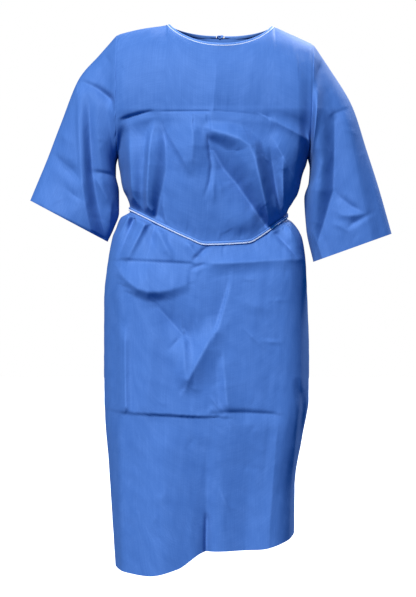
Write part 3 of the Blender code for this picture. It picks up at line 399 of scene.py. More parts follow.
# The gathers at the belt: from where to where along it, and the seed. Then how often one is made, and
# the ranges of its reach, lean, width and spacing in squares and of its millimetres outward. Those below
# the belt fan out from its middle
FRONT_PUCKERS = ((134, 286), 8)
BACK_PUCKERS = ((136, 284), 19)
PUCKER_CRISP = 0.7
PUCKER_CHANCE = 0.75
PUCKER_REACH = (9, 22)
PUCKER_LEAN = 2.5
PUCKER_MIDDLE = 210
PUCKER_FAN = 40
PUCKER_WIDTH = (2.5, 4.5)
PUCKER_OUT = (0.8, 2.0)
PUCKER_STEP = (4, 9)

# The faint unevenness all over the cloth: how many waves, their lengths in squares, how far out they
# stand together, and the sleeves' square
RIPPLE_WAVES = 14
RIPPLE_LENGTH = (9, 34)
RIPPLE_OUT = 0.00022
RIPPLE_SQUARE = 0.002

# How far each seam draws the cloth in or puckers it, and how far from the seam both reach on a panel
# of this half width
ARMHOLE_TUCK = 0.0016
ARMHOLE_PUCKER = 0.0006
SLEEVE_PUCKER = 0.0007
SIDE_TUCK = 0.0012
SHOULDER_TUCK = 0.0010
TUCK_REACH = 0.0022
PUCKER_NEAR = 0.010
BODY_HALF = 0.19

# How far the under panel of the lap lies back from the upper one's form
UNDER_LAP = 0.0006

# The belt holds the cloth on the form up to the first distance from its middle, and lets it go at the
# second. Deep folds are let go further out, and troughs keep a share of their depth under it
BELT_HOLD = (0.0042, 0.0125)
BELT_HOLD_FOLD = 0.5
BELT_HOLD_TROUGH = 0.3

# Rows and columns of the cloth's grids. Closer rows run from the chest line and from the sleeve's seam
# down to a share of the way, given with how many they are
YOKE_ROWS = 50
CHEST_CREASE = (0.24, 13)
ARMHOLE_ROWS = 29
BLOUSE_ROWS = 60
SKIRT_ROWS = 226
FRONT_COLUMNS = (52, 128)
BACK_COLUMNS = (44, 96)
SLEEVE_AROUND = 205
SLEEVE_CAP = (0.12, 8)
SLEEVE_ALONG = 128

# A tape's section as (across from its upper edge, out) in millimetres: a folded strip whose upper half
# laps over the lower one, which carries the stitches
TAPE_SECTION = (
    (0.00, 0.35), (0.12, 0.80), (0.45, 1.05), (1.60, 1.18), (2.90, 1.15), (3.45, 1.02), (3.62, 0.62),
    (4.20, 0.58), (6.40, 0.60), (7.05, 0.54), (7.32, 0.36), (7.40, 0.18), (7.30, 0.00), (5.00, -0.05),
    (2.50, -0.05), (0.10, 0.00),
)

# Stitches: their yarn, the loops it makes, how far down the tape their row runs, and how high it starts
STITCH_PITCH = 0.0023
STITCH_UNEVEN = 0.05
LOOP_REACH = 0.66
LOOP_POINTS = 9
LOOP_ROUND = 0.2
YARN = 0.00034
YARN_SIDES = 5
STITCH_ROW = 0.0018
STITCH_LIFT = 0.0006
TAIL_STITCH = 0.0011
NECK_STITCH = 0.0009
NECK_STITCH_ROW = 0.0017
BELT_STITCH = 0.0013
KNOT_TAPE = 0.0017

# Colours of the cloth, its lit fibres, the tape and the thread, and how far apart the pressed dots lie
CLOTH = (0.059, 0.147, 0.405)
CLOTH_DEEP = (0.041, 0.114, 0.350)
CLOTH_PALE = (0.094, 0.200, 0.505)
TAPE = (0.110, 0.235, 0.560)
TAPE_DEEP = (0.065, 0.165, 0.470)
TAPE_PALE = (0.200, 0.360, 0.800)
THREAD = (0.860, 0.880, 0.930)
THREAD_SHADE = (0.620, 0.680, 0.820)
CLOTH_DOTS = 0.0017
TAPE_DOTS = 0.0013

# The camera, the floor, and the lamps: how soft, where they shine from, and how strong
CAMERA_PLACE = (-0.0101, -3.4, -0.5505)
CAMERA_LENS = 67.66
FLOOR_Z = -1.42
LAMP_SOFTNESS = 0.30
KEY_TOWARD = (-0.28, -0.70, 0.65)
KEY_STRENGTH = 5.0
BEHIND_TOWARD = (0.40, 0.60, 0.69)
BEHIND_STRENGTH = 4.2
AMBIENT = (0.05, 0.42, 1.0)
AMBIENT_STRENGTH = 0.35


def fade(low, high, value):
    """0 below low, 1 above high, smooth between."""
    u = np.clip((value - low) / (high - low), 0, 1)
    return u * u * (3 - 2 * u)


def eased(knots, values, at):
    """A smooth curve through the values at the knots, with no overshoot."""
    knots = np.asarray(knots, float)
    values = np.asarray(values, float)
    gap = np.diff(knots).reshape((len(knots) - 1,) + (1,) * (values.ndim - 1))
    slope = np.diff(values, axis=0) / gap
    tangent = np.zeros(values.shape)
    tangent[0] = slope[0]
    tangent[-1] = slope[-1]
    together = slope[:-1] * slope[1:]
    safe = np.where(together > 0, slope[:-1] + slope[1:], 1.0)
    tangent[1:-1] = np.where(together > 0, 2 * together / safe, 0.0)
    at = np.clip(np.asarray(at, float), knots[0], knots[-1])
    i = np.clip(np.searchsorted(knots, at, side="right") - 1, 0, len(knots) - 2)
    h = knots[i + 1] - knots[i]
    u = (at - knots[i]) / h
    extra = (1,) * (values.ndim - 1)
    u = u.reshape(u.shape + extra)
    h = h.reshape(h.shape + extra)
    return (
        (1 + 2 * u) * (1 - u) ** 2 * values[i]
        + u * (1 - u) ** 2 * h * tangent[i]
        + u**2 * (3 - 2 * u) * values[i + 1]
        - u**2 * (1 - u) * h * tangent[i + 1]
    )


def unit(vectors):
    """Vectors brought to length 1."""
    return vectors / np.maximum(np.linalg.norm(vectors, axis=-1, keepdims=True), 1e-12)


def travelled(points):
    """How far along a line each of its points lies."""
    return np.concatenate([[0], np.cumsum(np.linalg.norm(np.diff(points, axis=0), axis=1))])


def spans(*parts):
    """Places in a row, each part given as (from, to, how many steps)."""
    return np.concatenate([np.linspace(a, b, n, endpoint=False) for a, b, n in parts] + [[parts[-1][1]]])


def column(table, names, name):
    return [row[names.index(name)] for row in table]


def line_z(table, x):
    """The height of a line across the body at x."""
    return eased(column(table, LINE_COLUMNS, "x"), column(table, LINE_COLUMNS, "z"), x)


def section(name, level):
    """One size of the body's section at a level."""
    return eased(column(SECTIONS, SECTION_COLUMNS, "level"), column(SECTIONS, SECTION_COLUMNS, name), level)


def neck_edge(x, side, inset):
    """Height and reach of the neck's edge at x, or of a line that far out from the edge."""
    across = np.clip(np.abs(x - NECK_X) / (NECK_HALF + inset), 0, 1)
    scoop = NECK_SCOOP if side < 0 else NECK_SCOOP_BACK
    reach = NECK_FRONT if side < 0 else NECK_BACK
    z = line_z(SHOULDER_LINE, x) - (scoop + inset) * (1 - across**2.2) ** 0.8
    y = side * (reach + 0.3 * inset) * np.sqrt(1 - across**2)
    return z, y


def body_drop(level):
    """How far down from the shoulder to the chest line a level lies, from 0 to 1."""
    return 1 - np.cos(np.clip(level, 0, 1) * math.pi / 2)


def body_heights(side, x, top_z, level):
    """Heights on the body's form, under the shoulder's or the neck's edge."""
    scoop = NECK_SCOOP if side < 0 else NECK_SCOOP_BACK
    belt_z = line_z(BELT_LINE if side < 0 else BELT_LINE_BACK, x)
    hem_z = line_z(HEM_LINE if side < 0 else HEM_LINE_BACK, x)
    # Under the neck's edge its corners fade out
    wide = np.clip(np.abs(x - NECK_X) / (NECK_CORNER * NECK_HALF), 0, 1)
    soft_z = line_z(SHOULDER_LINE, x) - scoop * (1 - wide**2) ** 1.5
    top_z = top_z + (soft_z - top_z) * fade(0, 0.45, level)
    z = top_z + (CHEST_Z - top_z) * body_drop(level)
    z = np.where(level > 1, CHEST_Z + (UNDERARM_Z - CHEST_Z) * (level - 1), z)
    z = np.where(level > 2, UNDERARM_Z + (belt_z - UNDERARM_Z) * (level - 2), z)
    return np.where(level > 3, belt_z + (hem_z - belt_z) * (level - 3), z)


def body_points(side, t, level):
    """Points of the body's smooth form: side -1 front, +1 back; t from -1 to 1, seam to seam."""
    y_name, neck_reach, armhole = (
        ("y_front", NECK_FRONT, ARMHOLE_FRONT) if side < 0 else ("y_back", NECK_BACK, ARMHOLE_BACK)
    )
    t, level = np.broadcast_arrays(np.asarray(t, float), np.asarray(level, float))
    round_share = fade(1, 2, level)
    across = (1 - round_share) * t + round_share * np.sin(t * math.pi / 2)
    x_right, x_left = section("x_right", level), section("x_left", level)
    x = (x_right + x_left) / 2 + across * (x_left - x_right) / 2
    top_z, top_y = neck_edge(x, side, NECK_COVERED)
    # The armhole's edge is an arc down to the underarm, and inside it the cloth is softer
    armhole = side * armhole
    arc = armhole * np.sqrt(np.clip(1 - np.clip(level - 1, 0, 1) ** 2, 0, 1))
    soft = armhole * (1 - fade(1.0, 2.4, level))
    edge_y = soft + (arc - soft) * fade(0.84, 0.98, np.abs(t))
    power = 2.0 + 0.5 * round_share + SKIRT_BOXY * fade(3.02, 3.2, level)
    fullness = 0.9 - 0.4 * round_share
    crown = np.clip(1 - np.abs(across) ** power, 0, 1) ** fullness
    y = section(y_name, level) * crown + edge_y * (1 - crown) ** (1 + 1.5 * round_share)
    # Above the chest line the cloth turns over the shoulder, and runs straighter to the neck
    near_neck = 1 - fade(0.5, 1.5, np.abs(x - NECK_X) / NECK_HALF)
    chest_y = armhole + (section(y_name, 1.0) - armhole) * crown
    bend = 0.5 + 0.28 * near_neck
    round_y = side * neck_reach * 0.8 * near_neck
    top_y = top_y + (round_y - top_y) * fade(0.02, 0.5, level)
    y_yoke = top_y + (chest_y - top_y) * (1 - (1 - body_drop(level)) ** 2) ** bend
    y = np.where(level < 1, y_yoke, y)
    return np.stack([x, y, body_heights(side, x, top_z, level)], axis=-1)


def crease_out(table, grid, x, z):
    """How far the creases stand outward at x, z."""
    u, v = x / grid[2] + grid[0], grid[1] - z / grid[2]
    out = np.zeros(np.shape(x))
    for crisp, *line in table:
        spread = max(max(p[3], p[4]) for p in line)
        low, high = np.min(line, axis=0) - spread, np.max(line, axis=0) + spread
        near = (u > low[0]) & (u < high[0]) & (v > low[1]) & (v < high[1])
        if not near.any():
            continue
        at_u, at_v = u[near], v[near]
        most = np.zeros(at_u.shape)
        for a, b in zip(line[:-1], line[1:]):
            run_u, run_v = b[0] - a[0], b[1] - a[1]
            length = math.hypot(run_u, run_v)
            along = ((at_u - a[0]) * run_u + (at_v - a[1]) * run_v) / length**2
            off = ((at_u - a[0]) * run_v - (at_v - a[1]) * run_u) / length
            share = np.clip(along, 0, 1)
            away = np.hypot(off, (along - share) * length)
            height, below, above = [a[i] + (b[i] - a[i]) * share for i in (2, 3, 4)]
            w = np.clip(1 - away / np.where(off < 0, below, above), 0, 1)
            value = height * (crisp * w**1.8 + (1 - crisp) * w * w * (3 - 2 * w))
            most = np.where(np.abs(value) > np.abs(most), value, most)
        out[near] += most
    return MILLIMETRE * out


def small_creases(count, box, seed):
    """Small creases strewn over a box of the drawing grid, most of them near upright or level."""
    dice = np.random.default_rng(seed)
    table = []
    for _ in range(count):
        u, v = dice.uniform(box[0], box[2]), dice.uniform(box[1], box[3])
        angle = dice.choice(SMALL_TURNS) * math.pi + dice.normal(0, SMALL_TURN_SPREAD)
        half = dice.uniform(*SMALL_LENGTH) / 2
        wide = dice.uniform(*SMALL_WIDTH, size=2)
        out = dice.uniform(*SMALL_OUT) * dice.choice((-1, 1))
        across, down = math.cos(angle) * half, math.sin(angle) * half
        bend = dice.uniform(-SMALL_BEND, SMALL_BEND, size=2)
        start, end = (u - across, v - down, 0, *wide), (u + across, v + down, 0, *wide)
        table.append((SMALL_CRISP, start, (u + bend[0], v + bend[1], out, *wide), end))
    return tuple(table)


def belt_puckers(line, box, seed):
    """Small gathers on both sides of the belt, uneven in length, height and spacing."""
    dice = np.random.default_rng(seed)
    table = []
    u = box[0]
    while u < box[1]:
        v = BODY_GRID[1] - float(line_z(line, (u - BODY_GRID[0]) * BODY_GRID[2])) / BODY_GRID[2]
        for way in (-1, 1):
            if dice.random() < PUCKER_CHANCE:
                reach = dice.uniform(*PUCKER_REACH) * way
                lean = dice.uniform(-PUCKER_LEAN, PUCKER_LEAN) + (u - PUCKER_MIDDLE) / PUCKER_FAN * (way > 0)
                out = dice.uniform(*PUCKER_OUT) * dice.choice((-1, 1))
                wide = dice.uniform(*PUCKER_WIDTH, size=2)
                start = (u, v + 1.5 * way, out, *wide)
                middle = (u + lean / 2, v + reach / 2, out * 0.7, *wide)
                table.append((PUCKER_CRISP, start, middle, (u + lean, v + reach, 0, *wide)))
        u += dice.uniform(*PUCKER_STEP)
    return tuple(table)


def ripple(u, v, seed, out):
    """A faint unevenness all over, in metres."""
    dice = np.random.default_rng(seed)
    total = np.zeros(np.shape(u))
    for _ in range(RIPPLE_WAVES):
        length = dice.uniform(*RIPPLE_LENGTH)
        angle = dice.uniform(0, math.pi)
        place = (u * math.cos(angle) + v * math.sin(angle)) * 2 * math.pi / length
        total += np.sin(place + dice.uniform(0, 2 * math.pi))
    return out * total / math.sqrt(RIPPLE_WAVES)


def body_levels():
    """The levels of the body's rows, from the shoulder to the hem, closer where the chest crease runs."""
    crease_end, crease_rows = CHEST_CREASE
    turn = np.linspace(math.asin(crease_end), math.pi / 2, ARMHOLE_ROWS, endpoint=False)
    belt_start, belt_end = BELT_BAND
    blouse = spans((2, belt_start, BLOUSE_ROWS), (belt_start, belt_end, 5), (belt_end, FLARE_LEVEL, 5))
    return np.concatenate([
        np.linspace(0, 1, YOKE_ROWS, endpoint=False),
        np.linspace(1, 1 + crease_end, crease_rows, endpoint=False),
        1 + np.sin(turn),
        blouse[:-1],
        np.linspace(FLARE_LEVEL, 4, SKIRT_ROWS),
    ])


def neck_shares():
    """Where the neck's two corners lie, from -1 to 1 across the shoulders."""
    x_right, x_left = float(section("x_right", 0.0)), float(section("x_left", 0.0))
    middle, half = (x_right + x_left) / 2, (x_left - x_right) / 2
    return [(NECK_X + s * (NECK_HALF + NECK_COVERED) - middle) / half for s in (-1, 1)]


def grid_normals(points):
    """Unit normals of a grid of points, from its neighbours, to one side of the cloth."""
    return unit(np.cross(np.gradient(points, axis=1), np.gradient(points, axis=0)))


def tucked(points, side, t, level):
    """Draws the cloth's edge in along its seams, where the seam allowance pulls it."""
    from_seam = (1 - np.abs(t)) * BODY_HALF
    near = np.exp(-from_seam / TUCK_REACH)[None, :]
    beside = np.exp(-from_seam / PUCKER_NEAR)[None, :]
    armhole = (1 - fade(1.75, 2.0, level))[:, None]
    radial = unit(points[..., 1:] - (0, ARMHOLE_MIDDLE_Z))
    pucker = ripple(np.zeros(points.shape[:2]), points[..., 2] / RIPPLE_SQUARE, 31, ARMHOLE_PUCKER)
    points[..., 1:] -= radial * ((near * ARMHOLE_TUCK + beside * pucker * (1 - near)) * armhole)[..., None]
    seam_side = np.sign(t)[None, :] * fade(1.9, 2.1, level)[:, None]
    points[..., 0] -= seam_side * (near * SIDE_TUCK + beside * pucker * 0.6)
    shoulder = np.exp(-level / 0.012)[:, None] * fade(0.0, 0.01, np.abs(t) - 0.55)[None, :]
    points[..., 2] -= shoulder * SHOULDER_TUCK
    return points


def body_surface(side, t, level, table=(), seed=0, upper=False):
    """A body panel's outer points and outward normals. upper: the back panel that laps over the other."""
    points = body_points(side, t[None, :], level[:, None])
    direction = side if t[-1] > t[0] else -side
    normal = grid_normals(points) * direction
    if upper:
        lap = fade(-LAP_SHARE - 0.2, -LAP_SHARE - 0.02, t)
        lap = lap * (1 - fade(LAP_SHARE + 0.02, LAP_SHARE + LAP_FADE, t))
        points = points + normal * (lap * LAP_OFFSET)[None, :, None]
    if table:
        x, z = points[..., 0].copy(), points[..., 2].copy()
        out = crease_out(table, BODY_GRID, x, z)
        if side > 0:
            # Where the two back panels lap, only the upper one stands proud of the form
            out = out if upper else out - UNDER_LAP
        out += ripple(x / BODY_GRID[2], z / BODY_GRID[2], 11 + seed, RIPPLE_OUT)
        free = fade(0, 0.08, 1 - np.abs(t))[None, :] * fade(0, 0.45, level)[:, None]
        from_belt = np.abs(z - line_z(BELT_LINE if side < 0 else BELT_LINE_BACK, x))
        let_go = fade(BELT_HOLD[0], BELT_HOLD[1] + BELT_HOLD_FOLD * np.abs(out), from_belt)
        inward = BELT_HOLD_TROUGH + (1 - BELT_HOLD_TROUGH) * let_go
        points[..., 1] += side * out * np.where(out > 0, let_go, inward) * free
        points = tucked(points, side, t, level)
        normal = grid_normals(points) * direction
    return points, normal


def grid_faces(index):
    """Faces between the neighbours of a grid of point numbers."""
    return np.stack([index[:-1, :-1], index[1:, :-1], index[1:, 1:], index[:-1, 1:]], axis=-1).reshape(-1, 4)


def linked(name, data):
    """An object for a mesh, a camera or a lamp, in the scene."""
    made = bpy.data.objects.new(name, data)
    bpy.context.scene.collection.objects.link(made)
    return made


def made_piece(name, points, faces, flat, finish):
    """A smooth piece in the scene. flat: each point's place on its own flat cloth or tape."""
    mesh = bpy.data.meshes.new(name)
    mesh.from_pydata(points.reshape(-1, 3).tolist(), [], faces)
    flat_values = flat.astype(np.float32).ravel()
    mesh.attributes.new("flat", "FLOAT_VECTOR", "POINT").data.foreach_set("vector", flat_values)
    mesh.shade_smooth()
    mesh.materials.append(finish)
    return linked(name, mesh)


def sheet_mesh(name, points, flip, finish):
    """A single sheet of cloth from a grid of points, which also carries how sharply it turns at each."""
    rows, columns = points.shape[:2]
    quads = grid_faces(np.arange(rows * columns).reshape(rows, columns))
    if flip:
        quads = quads[:, ::-1]
    across = np.linalg.norm(np.diff(points, axis=1), axis=-1)
    down = np.linalg.norm(np.diff(points, axis=0), axis=-1)
    u = np.concatenate([np.zeros((rows, 1)), np.cumsum(across, axis=1)], axis=1)
    v = np.concatenate([np.zeros((1, columns)), np.cumsum(down, axis=0)], axis=0)
    u -= u[:, columns // 2 : columns // 2 + 1]
    normal = grid_normals(points)
    turn = sum(np.linalg.norm(np.gradient(normal, axis=axis), axis=-1) for axis in (0, 1))
    flat = np.stack([u, v, np.clip(turn * 1.6, 0, 1)], axis=-1)
    return made_piece(name, points, quads.tolist(), flat, finish)


def tube_mesh(name, rings, finish, closed=False):
    """A tube from rings of points. closed: its two ends meet; otherwise each end is capped."""
    count, around = rings.shape[:2]
    index = np.arange(count * around).reshape(count, around)
    if closed:
        index = np.concatenate([index, index[:1]])
    index = np.concatenate([index, index[:, :1]], axis=1)
    faces = grid_faces(index).tolist()
    if not closed:
        faces.append(index[0, :-1].tolist())
        faces.append(index[-1, :-1][::-1].tolist())
    flat = np.zeros((count, around, 3))
    flat[..., 0] = np.linspace(0, 2 * TAPE_WIDTH, around)[None, :]
    flat[..., 1] = travelled(rings.mean(axis=1))[:, None]
    return made_piece(name, rings, faces, flat, finish)


def tape(name, middle, out, down, lift, finish):
    """A flat tape along a track."""
    rings = []
    for across, height in TAPE_SECTION:
        place = across * MILLIMETRE - TAPE_WIDTH / 2
        rings.append(middle + down * place + out * (lift + height * MILLIMETRE)[:, None])
    return tube_mesh(name, np.array(rings).transpose(1, 0, 2), finish)


def stitches(name, middle, out, down, lift, finish, seed, width, row=STITCH_ROW):
    """Chain stitches along a track: each is a loop of yarn that starts inside the one before."""
    dice = np.random.default_rng(seed)
    run = travelled(middle)
    count = int(run[-1] / STITCH_PITCH) - 1
    at = (np.arange(count) + 0.8) * STITCH_PITCH + dice.normal(0, STITCH_UNEVEN * STITCH_PITCH, count)
    turn = np.linspace(0, 2 * math.pi, LOOP_POINTS, endpoint=False)
    around = np.linspace(0, 2 * math.pi, YARN_SIDES, endpoint=False)[:, None]
    places = at[:, None] + np.cos(turn) * STITCH_PITCH * LOOP_REACH
    sideways = np.sin(turn) * (width - YARN) * (1 + LOOP_ROUND * np.cos(turn))
    heights = YARN * (0.9 + 0.5 * np.cos(turn)) + np.interp(places, run, lift + STITCH_LIFT)
    centre, up, low = [
        np.stack([np.interp(places, run, values[:, i]) for i in range(3)], axis=-1)
        for values in (middle, out, down)
    ]
    line = centre + low * (row + sideways)[:, None] + up * heights[..., None]
    tangent = unit(np.roll(line, -1, axis=1) - np.roll(line, 1, axis=1))
    beside = unit(np.cross(tangent, up))
    lifted = np.cross(beside, tangent)
    across = beside[:, :, None] * np.cos(around) + lifted[:, :, None] * np.sin(around)
    rings = line[:, :, None] + YARN * across
    a = np.arange(count * LOOP_POINTS * YARN_SIDES).reshape(count, LOOP_POINTS, YARN_SIDES)
    b = np.roll(a, -1, axis=1)
    quads = np.stack([a, b, np.roll(b, -1, axis=2), np.roll(a, -1, axis=2)], axis=-1).reshape(-1, 4)
    flat = np.zeros(rings.shape)
    flat[..., 0] = np.arange(YARN_SIDES) * 0.0004
    flat[..., 1] = places[:, :, None]
    return made_piece(name, rings, quads.tolist(), flat, finish)


def front_panel(finish):
    right, left = neck_shares()
    sides, middle = FRONT_COLUMNS
    t = spans((-1, right, sides), (right, left, middle), (left, 1, sides))
    table = FRONT_CREASES + small_creases(*FRONT_SMALL) + belt_puckers(BELT_LINE, *FRONT_PUCKERS)
    points, _ = body_surface(-1, t, body_levels(), table, seed=1)
    return sheet_mesh("front_cloth", points, False, finish)


def back_panels(finish):
    """The two back panels, and the grid of the upper one, which the tied ends hang over."""
    right, left = neck_shares()
    sides, middle = BACK_COLUMNS
    table = BACK_CREASES + small_creases(*BACK_SMALL) + belt_puckers(BELT_LINE_BACK, *BACK_PUCKERS)
    lower_t = spans((-1, right, sides), (right, LAP_SHARE, middle))
    upper_t = spans((-LAP_SHARE, left, middle), (left, 1, sides))
    lower, _ = body_surface(1, lower_t, body_levels(), table, seed=2)
    upper, _ = body_surface(1, upper_t, body_levels(), table, seed=2, upper=True)
    back_right = sheet_mesh("back_right_cloth", lower, True, finish)
    back_left = sheet_mesh("back_left_cloth", upper, True, finish)
    return back_right, back_left, upper


def armhole_loop(side, angle):
    """The body's own edge round an armhole."""
    turn = np.abs((angle + math.pi) % (2 * math.pi) - math.pi)
    level = np.where(turn < math.pi / 2, 2 * turn / math.pi, 1 - np.cos(turn))
    front = np.array([body_points(-1, side, value) for value in level])
    back = np.array([body_points(1, side, value) for value in level])
    loop = np.where((np.sin(angle) > 1e-9)[:, None], front, back)
    loop[:, 1:] -= unit(loop[:, 1:] - (0, ARMHOLE_MIDDLE_Z)) * ARMHOLE_TUCK
    return loop


def sleeve_loops(rings, side, angle):
    """The armhole's loop and the sleeve's rings. Angle 0 is a ring's top and a quarter turn its front."""
    down, forward = np.cos(angle), np.sin(angle)
    loops = [armhole_loop(side, angle)]
    for row in rings:
        size = dict(zip(RING_COLUMNS, row))
        share = np.where(down > 0, size["widest"] * (1 - down), size["widest"] - (1 - size["widest"]) * down)
        middle = (size["y_front"] + size["y_back"]) / 2
        y = middle + (size["y_front"] - middle) * forward
        x = size["top_x"] + (size["bottom_x"] - size["top_x"]) * share
        z = size["top_z"] + (size["bottom_z"] - size["top_z"]) * share
        loops.append(np.stack([x, y, z], axis=-1))
    return np.array(loops)


def sleeve(name, rings, side, finish, seed):
    """A sleeve, open along its seam under the arm."""
    angle = np.linspace(-math.pi, math.pi, SLEEVE_AROUND)
    forward = np.sin(angle)
    cap_end, cap_rows = SLEEVE_CAP
    cap = np.linspace(0, cap_end, cap_rows, endpoint=False)
    place = np.concatenate([cap, np.linspace(cap_end, len(rings), SLEEVE_ALONG)])
    points = eased(np.arange(len(rings) + 1), sleeve_loops(rings, side, angle), place)
    x, z = points[..., 0].copy(), points[..., 2].copy()
    small = small_creases(SLEEVE_SMALL, SLEEVE_RIGHT_BOX if side < 0 else SLEEVE_LEFT_BOX, seed)
    ahead, behind = [
        crease_out(table, SLEEVE_GRID, x, z)
        + ripple(x / RIPPLE_SQUARE, z / RIPPLE_SQUARE, seed + i, RIPPLE_OUT)
        for i, table in enumerate((SLEEVE_FRONT_CREASES + small, SLEEVE_BACK_CREASES + small[::2]))
    ]
    free = fade(0, 0.5, place)[:, None]
    points[..., 1] -= ahead * np.clip(forward, 0, 1)[None, :] ** 0.7 * free
    points[..., 1] += behind * np.clip(-forward, 0, 1)[None, :] ** 0.7 * free
    # The seam at the armhole: the sleeve's cap rises out of it
    rise = ARMHOLE_TUCK * (1 - np.exp(-place / 0.05)) * (1 - fade(0, 1.2, place))
    near_seam = fade(0, 0.05, place) * (1 - fade(0.1, 0.6, place))
    round_seam = np.broadcast_to(angle * 60, points.shape[:2])
    pucker = ripple(np.zeros(points.shape[:2]), round_seam, seed + 2, SLEEVE_PUCKER)
    radial = unit(points[..., 1:] - points[..., 1:].mean(axis=1, keepdims=True))
    points[..., 1:] += radial * (rise[:, None] + pucker * near_seam[:, None])[..., None]
    return sheet_mesh(name, points, side > 0, finish)


def neck_track():
    """The neck binding's line from the knot and back to it, its outward and downward ways, and its lift."""
    stop = (NECK_KNOT[0] / 2 + KNOT_GAP) / NECK_HALF
    angle = np.linspace(stop - math.pi, math.pi - stop, 321)
    ahead = np.cos(angle) > 0
    rows = []
    for inset in (0.0, TAPE_WIDTH / 2, TAPE_WIDTH):
        x = NECK_X + (NECK_HALF + inset) * np.sin(angle)
        z, y = [np.where(ahead, *pair) for pair in zip(neck_edge(x, -1, inset), neck_edge(x, 1, inset))]
        rows.append(np.stack([x, y, z], axis=-1))
    points = np.array(rows)
    out = -grid_normals(points)[1]
    behind = fade(math.pi - 0.35, angle[-1], np.abs(angle))
    middle = points[1] + out * (TAPE_PROUD + NECK_KNOT_OUT * behind)[:, None]
    return middle, out, unit(points[2] - points[0]), np.full(len(angle), -TAPE_CLEAR)


def belt_track():
    """The belt's line from the knot and back to it, its outward and downward ways, and its lift."""
    level = np.array([BELT_BAND[0], 3.0, BELT_BAND[1]])
    half_width = float(section("x_left", 3.0) - section("x_right", 3.0)) / 2
    stop = (BELT_KNOT[0] / 2 + KNOT_GAP) / half_width * 2 / math.pi
    strips = []
    for side, start, end, count in ((1, -stop, -1, 90), (-1, -1, 1, 200), (1, 1, stop, 90)):
        points, normal = body_surface(side, np.linspace(start, end, count), level, upper=side > 0)
        down = unit(points[2] - points[0])
        out = unit(normal[1] - down * np.sum(normal[1] * down, axis=-1, keepdims=True))
        strips.append([points[1], out, down])
    middle, out, down = [
        np.concatenate([a[:-1], (a[-1:] + b[:1]) / 2, b[1:-1], (b[-1:] + c[:1]) / 2, c[1:]])
        for a, b, c in zip(*strips)
    ]
    for _ in range(6):
        middle[1:-1] = (middle[:-2] + 2 * middle[1:-1] + middle[2:]) / 4
    run = travelled(middle)
    behind = 1 - fade(0, KNOT_RUN, np.minimum(run, run[-1] - run))
    return middle, unit(out), down, TAPE_CLEAR + BELT_PROUD + BELT_KNOT_OUT * behind


def tail_track(cloth, start, knot_out, drift, length):
    """A tape end that hangs from its knot over the creased back."""
    side = math.copysign(1, drift)
    rows = np.arange(cloth.shape[0])

    def on_cloth(row, x, axis):
        return np.interp(x, cloth[row, :, 0], cloth[row, :, axis])

    share = (start[2] - np.array([on_cloth(row, start[0], 2) for row in rows])) / length
    kept = (share > -0.02) & (share < 1.02)
    rows, share = rows[kept], share[kept]
    x = start[0] + side * (TAPE_WIDTH / 2 + KNOT_GAP) + drift * np.clip(share, 0, 1)
    beside = (-TAPE_WIDTH / 2, 0, TAPE_WIDTH / 2)
    y = np.max([[on_cloth(row, xx + a, 1) for row, xx in zip(rows, x)] for a in beside], axis=0)
    # It bridges the hollows: a running highest, then smoothed over a shorter run
    reach, smooth = 6, 5
    padded = np.pad(y, reach, mode="edge")
    high = np.array([padded[i : i + 2 * reach + 1].max() for i in range(len(y))])
    window = 2 * smooth + 1
    y = np.convolve(np.pad(high, smooth, mode="edge"), np.ones(window) / window, mode="valid")
    even = np.linspace(0, 1, 120)
    x, y = [np.interp(even, np.clip(share, 0, 1), values) for values in (x, y)]
    middle = np.stack([x, y, start[2] - even * length], axis=-1)
    way = unit(np.gradient(middle, axis=0))
    out = np.cross(np.broadcast_to((1.0, 0.0, 0.0), middle.shape), way)
    out = unit(out * np.sign(out[:, 1:2]))
    across = np.cross(way, out)
    across *= np.sign(across[:, :1]) * side
    return middle, out, across, TAIL_CLEAR + knot_out * (1 - fade(0, 0.2, even))


def knot(name, node, size, finish):
    """A tied knot: one tape that passes over and under itself three times."""
    low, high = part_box(node)
    centre = (np.array(low) + np.array(high)) / 2
    turn = np.linspace(0, 2 * math.pi, 72, endpoint=False)
    half = np.array(size) / 2 - KNOT_TAPE
    line = np.stack([
        (np.sin(turn) + 2 * np.sin(2 * turn)) / 3 * half[0],
        -np.sin(3 * turn) * half[1] * 0.8,
        (np.cos(turn) - 2 * np.cos(2 * turn)) / 3 * half[2],
    ], axis=-1)
    tangent = unit(np.roll(line, -1, axis=0) - np.roll(line, 1, axis=0))
    radial = unit(line) + (0, 0.6, 0)
    first = unit(radial - tangent * np.sum(radial * tangent, axis=-1, keepdims=True))
    second = np.cross(tangent, first)
    around = np.linspace(0, 2 * math.pi, 12, endpoint=False)[:, None]
    thick, broad = np.cos(around) * KNOT_TAPE * 0.75, np.sin(around) * KNOT_TAPE * 1.35
    rings = line[:, None] + first[:, None] * thick + second[:, None] * broad
    return tube_mesh(name, rings + centre, finish, closed=True)


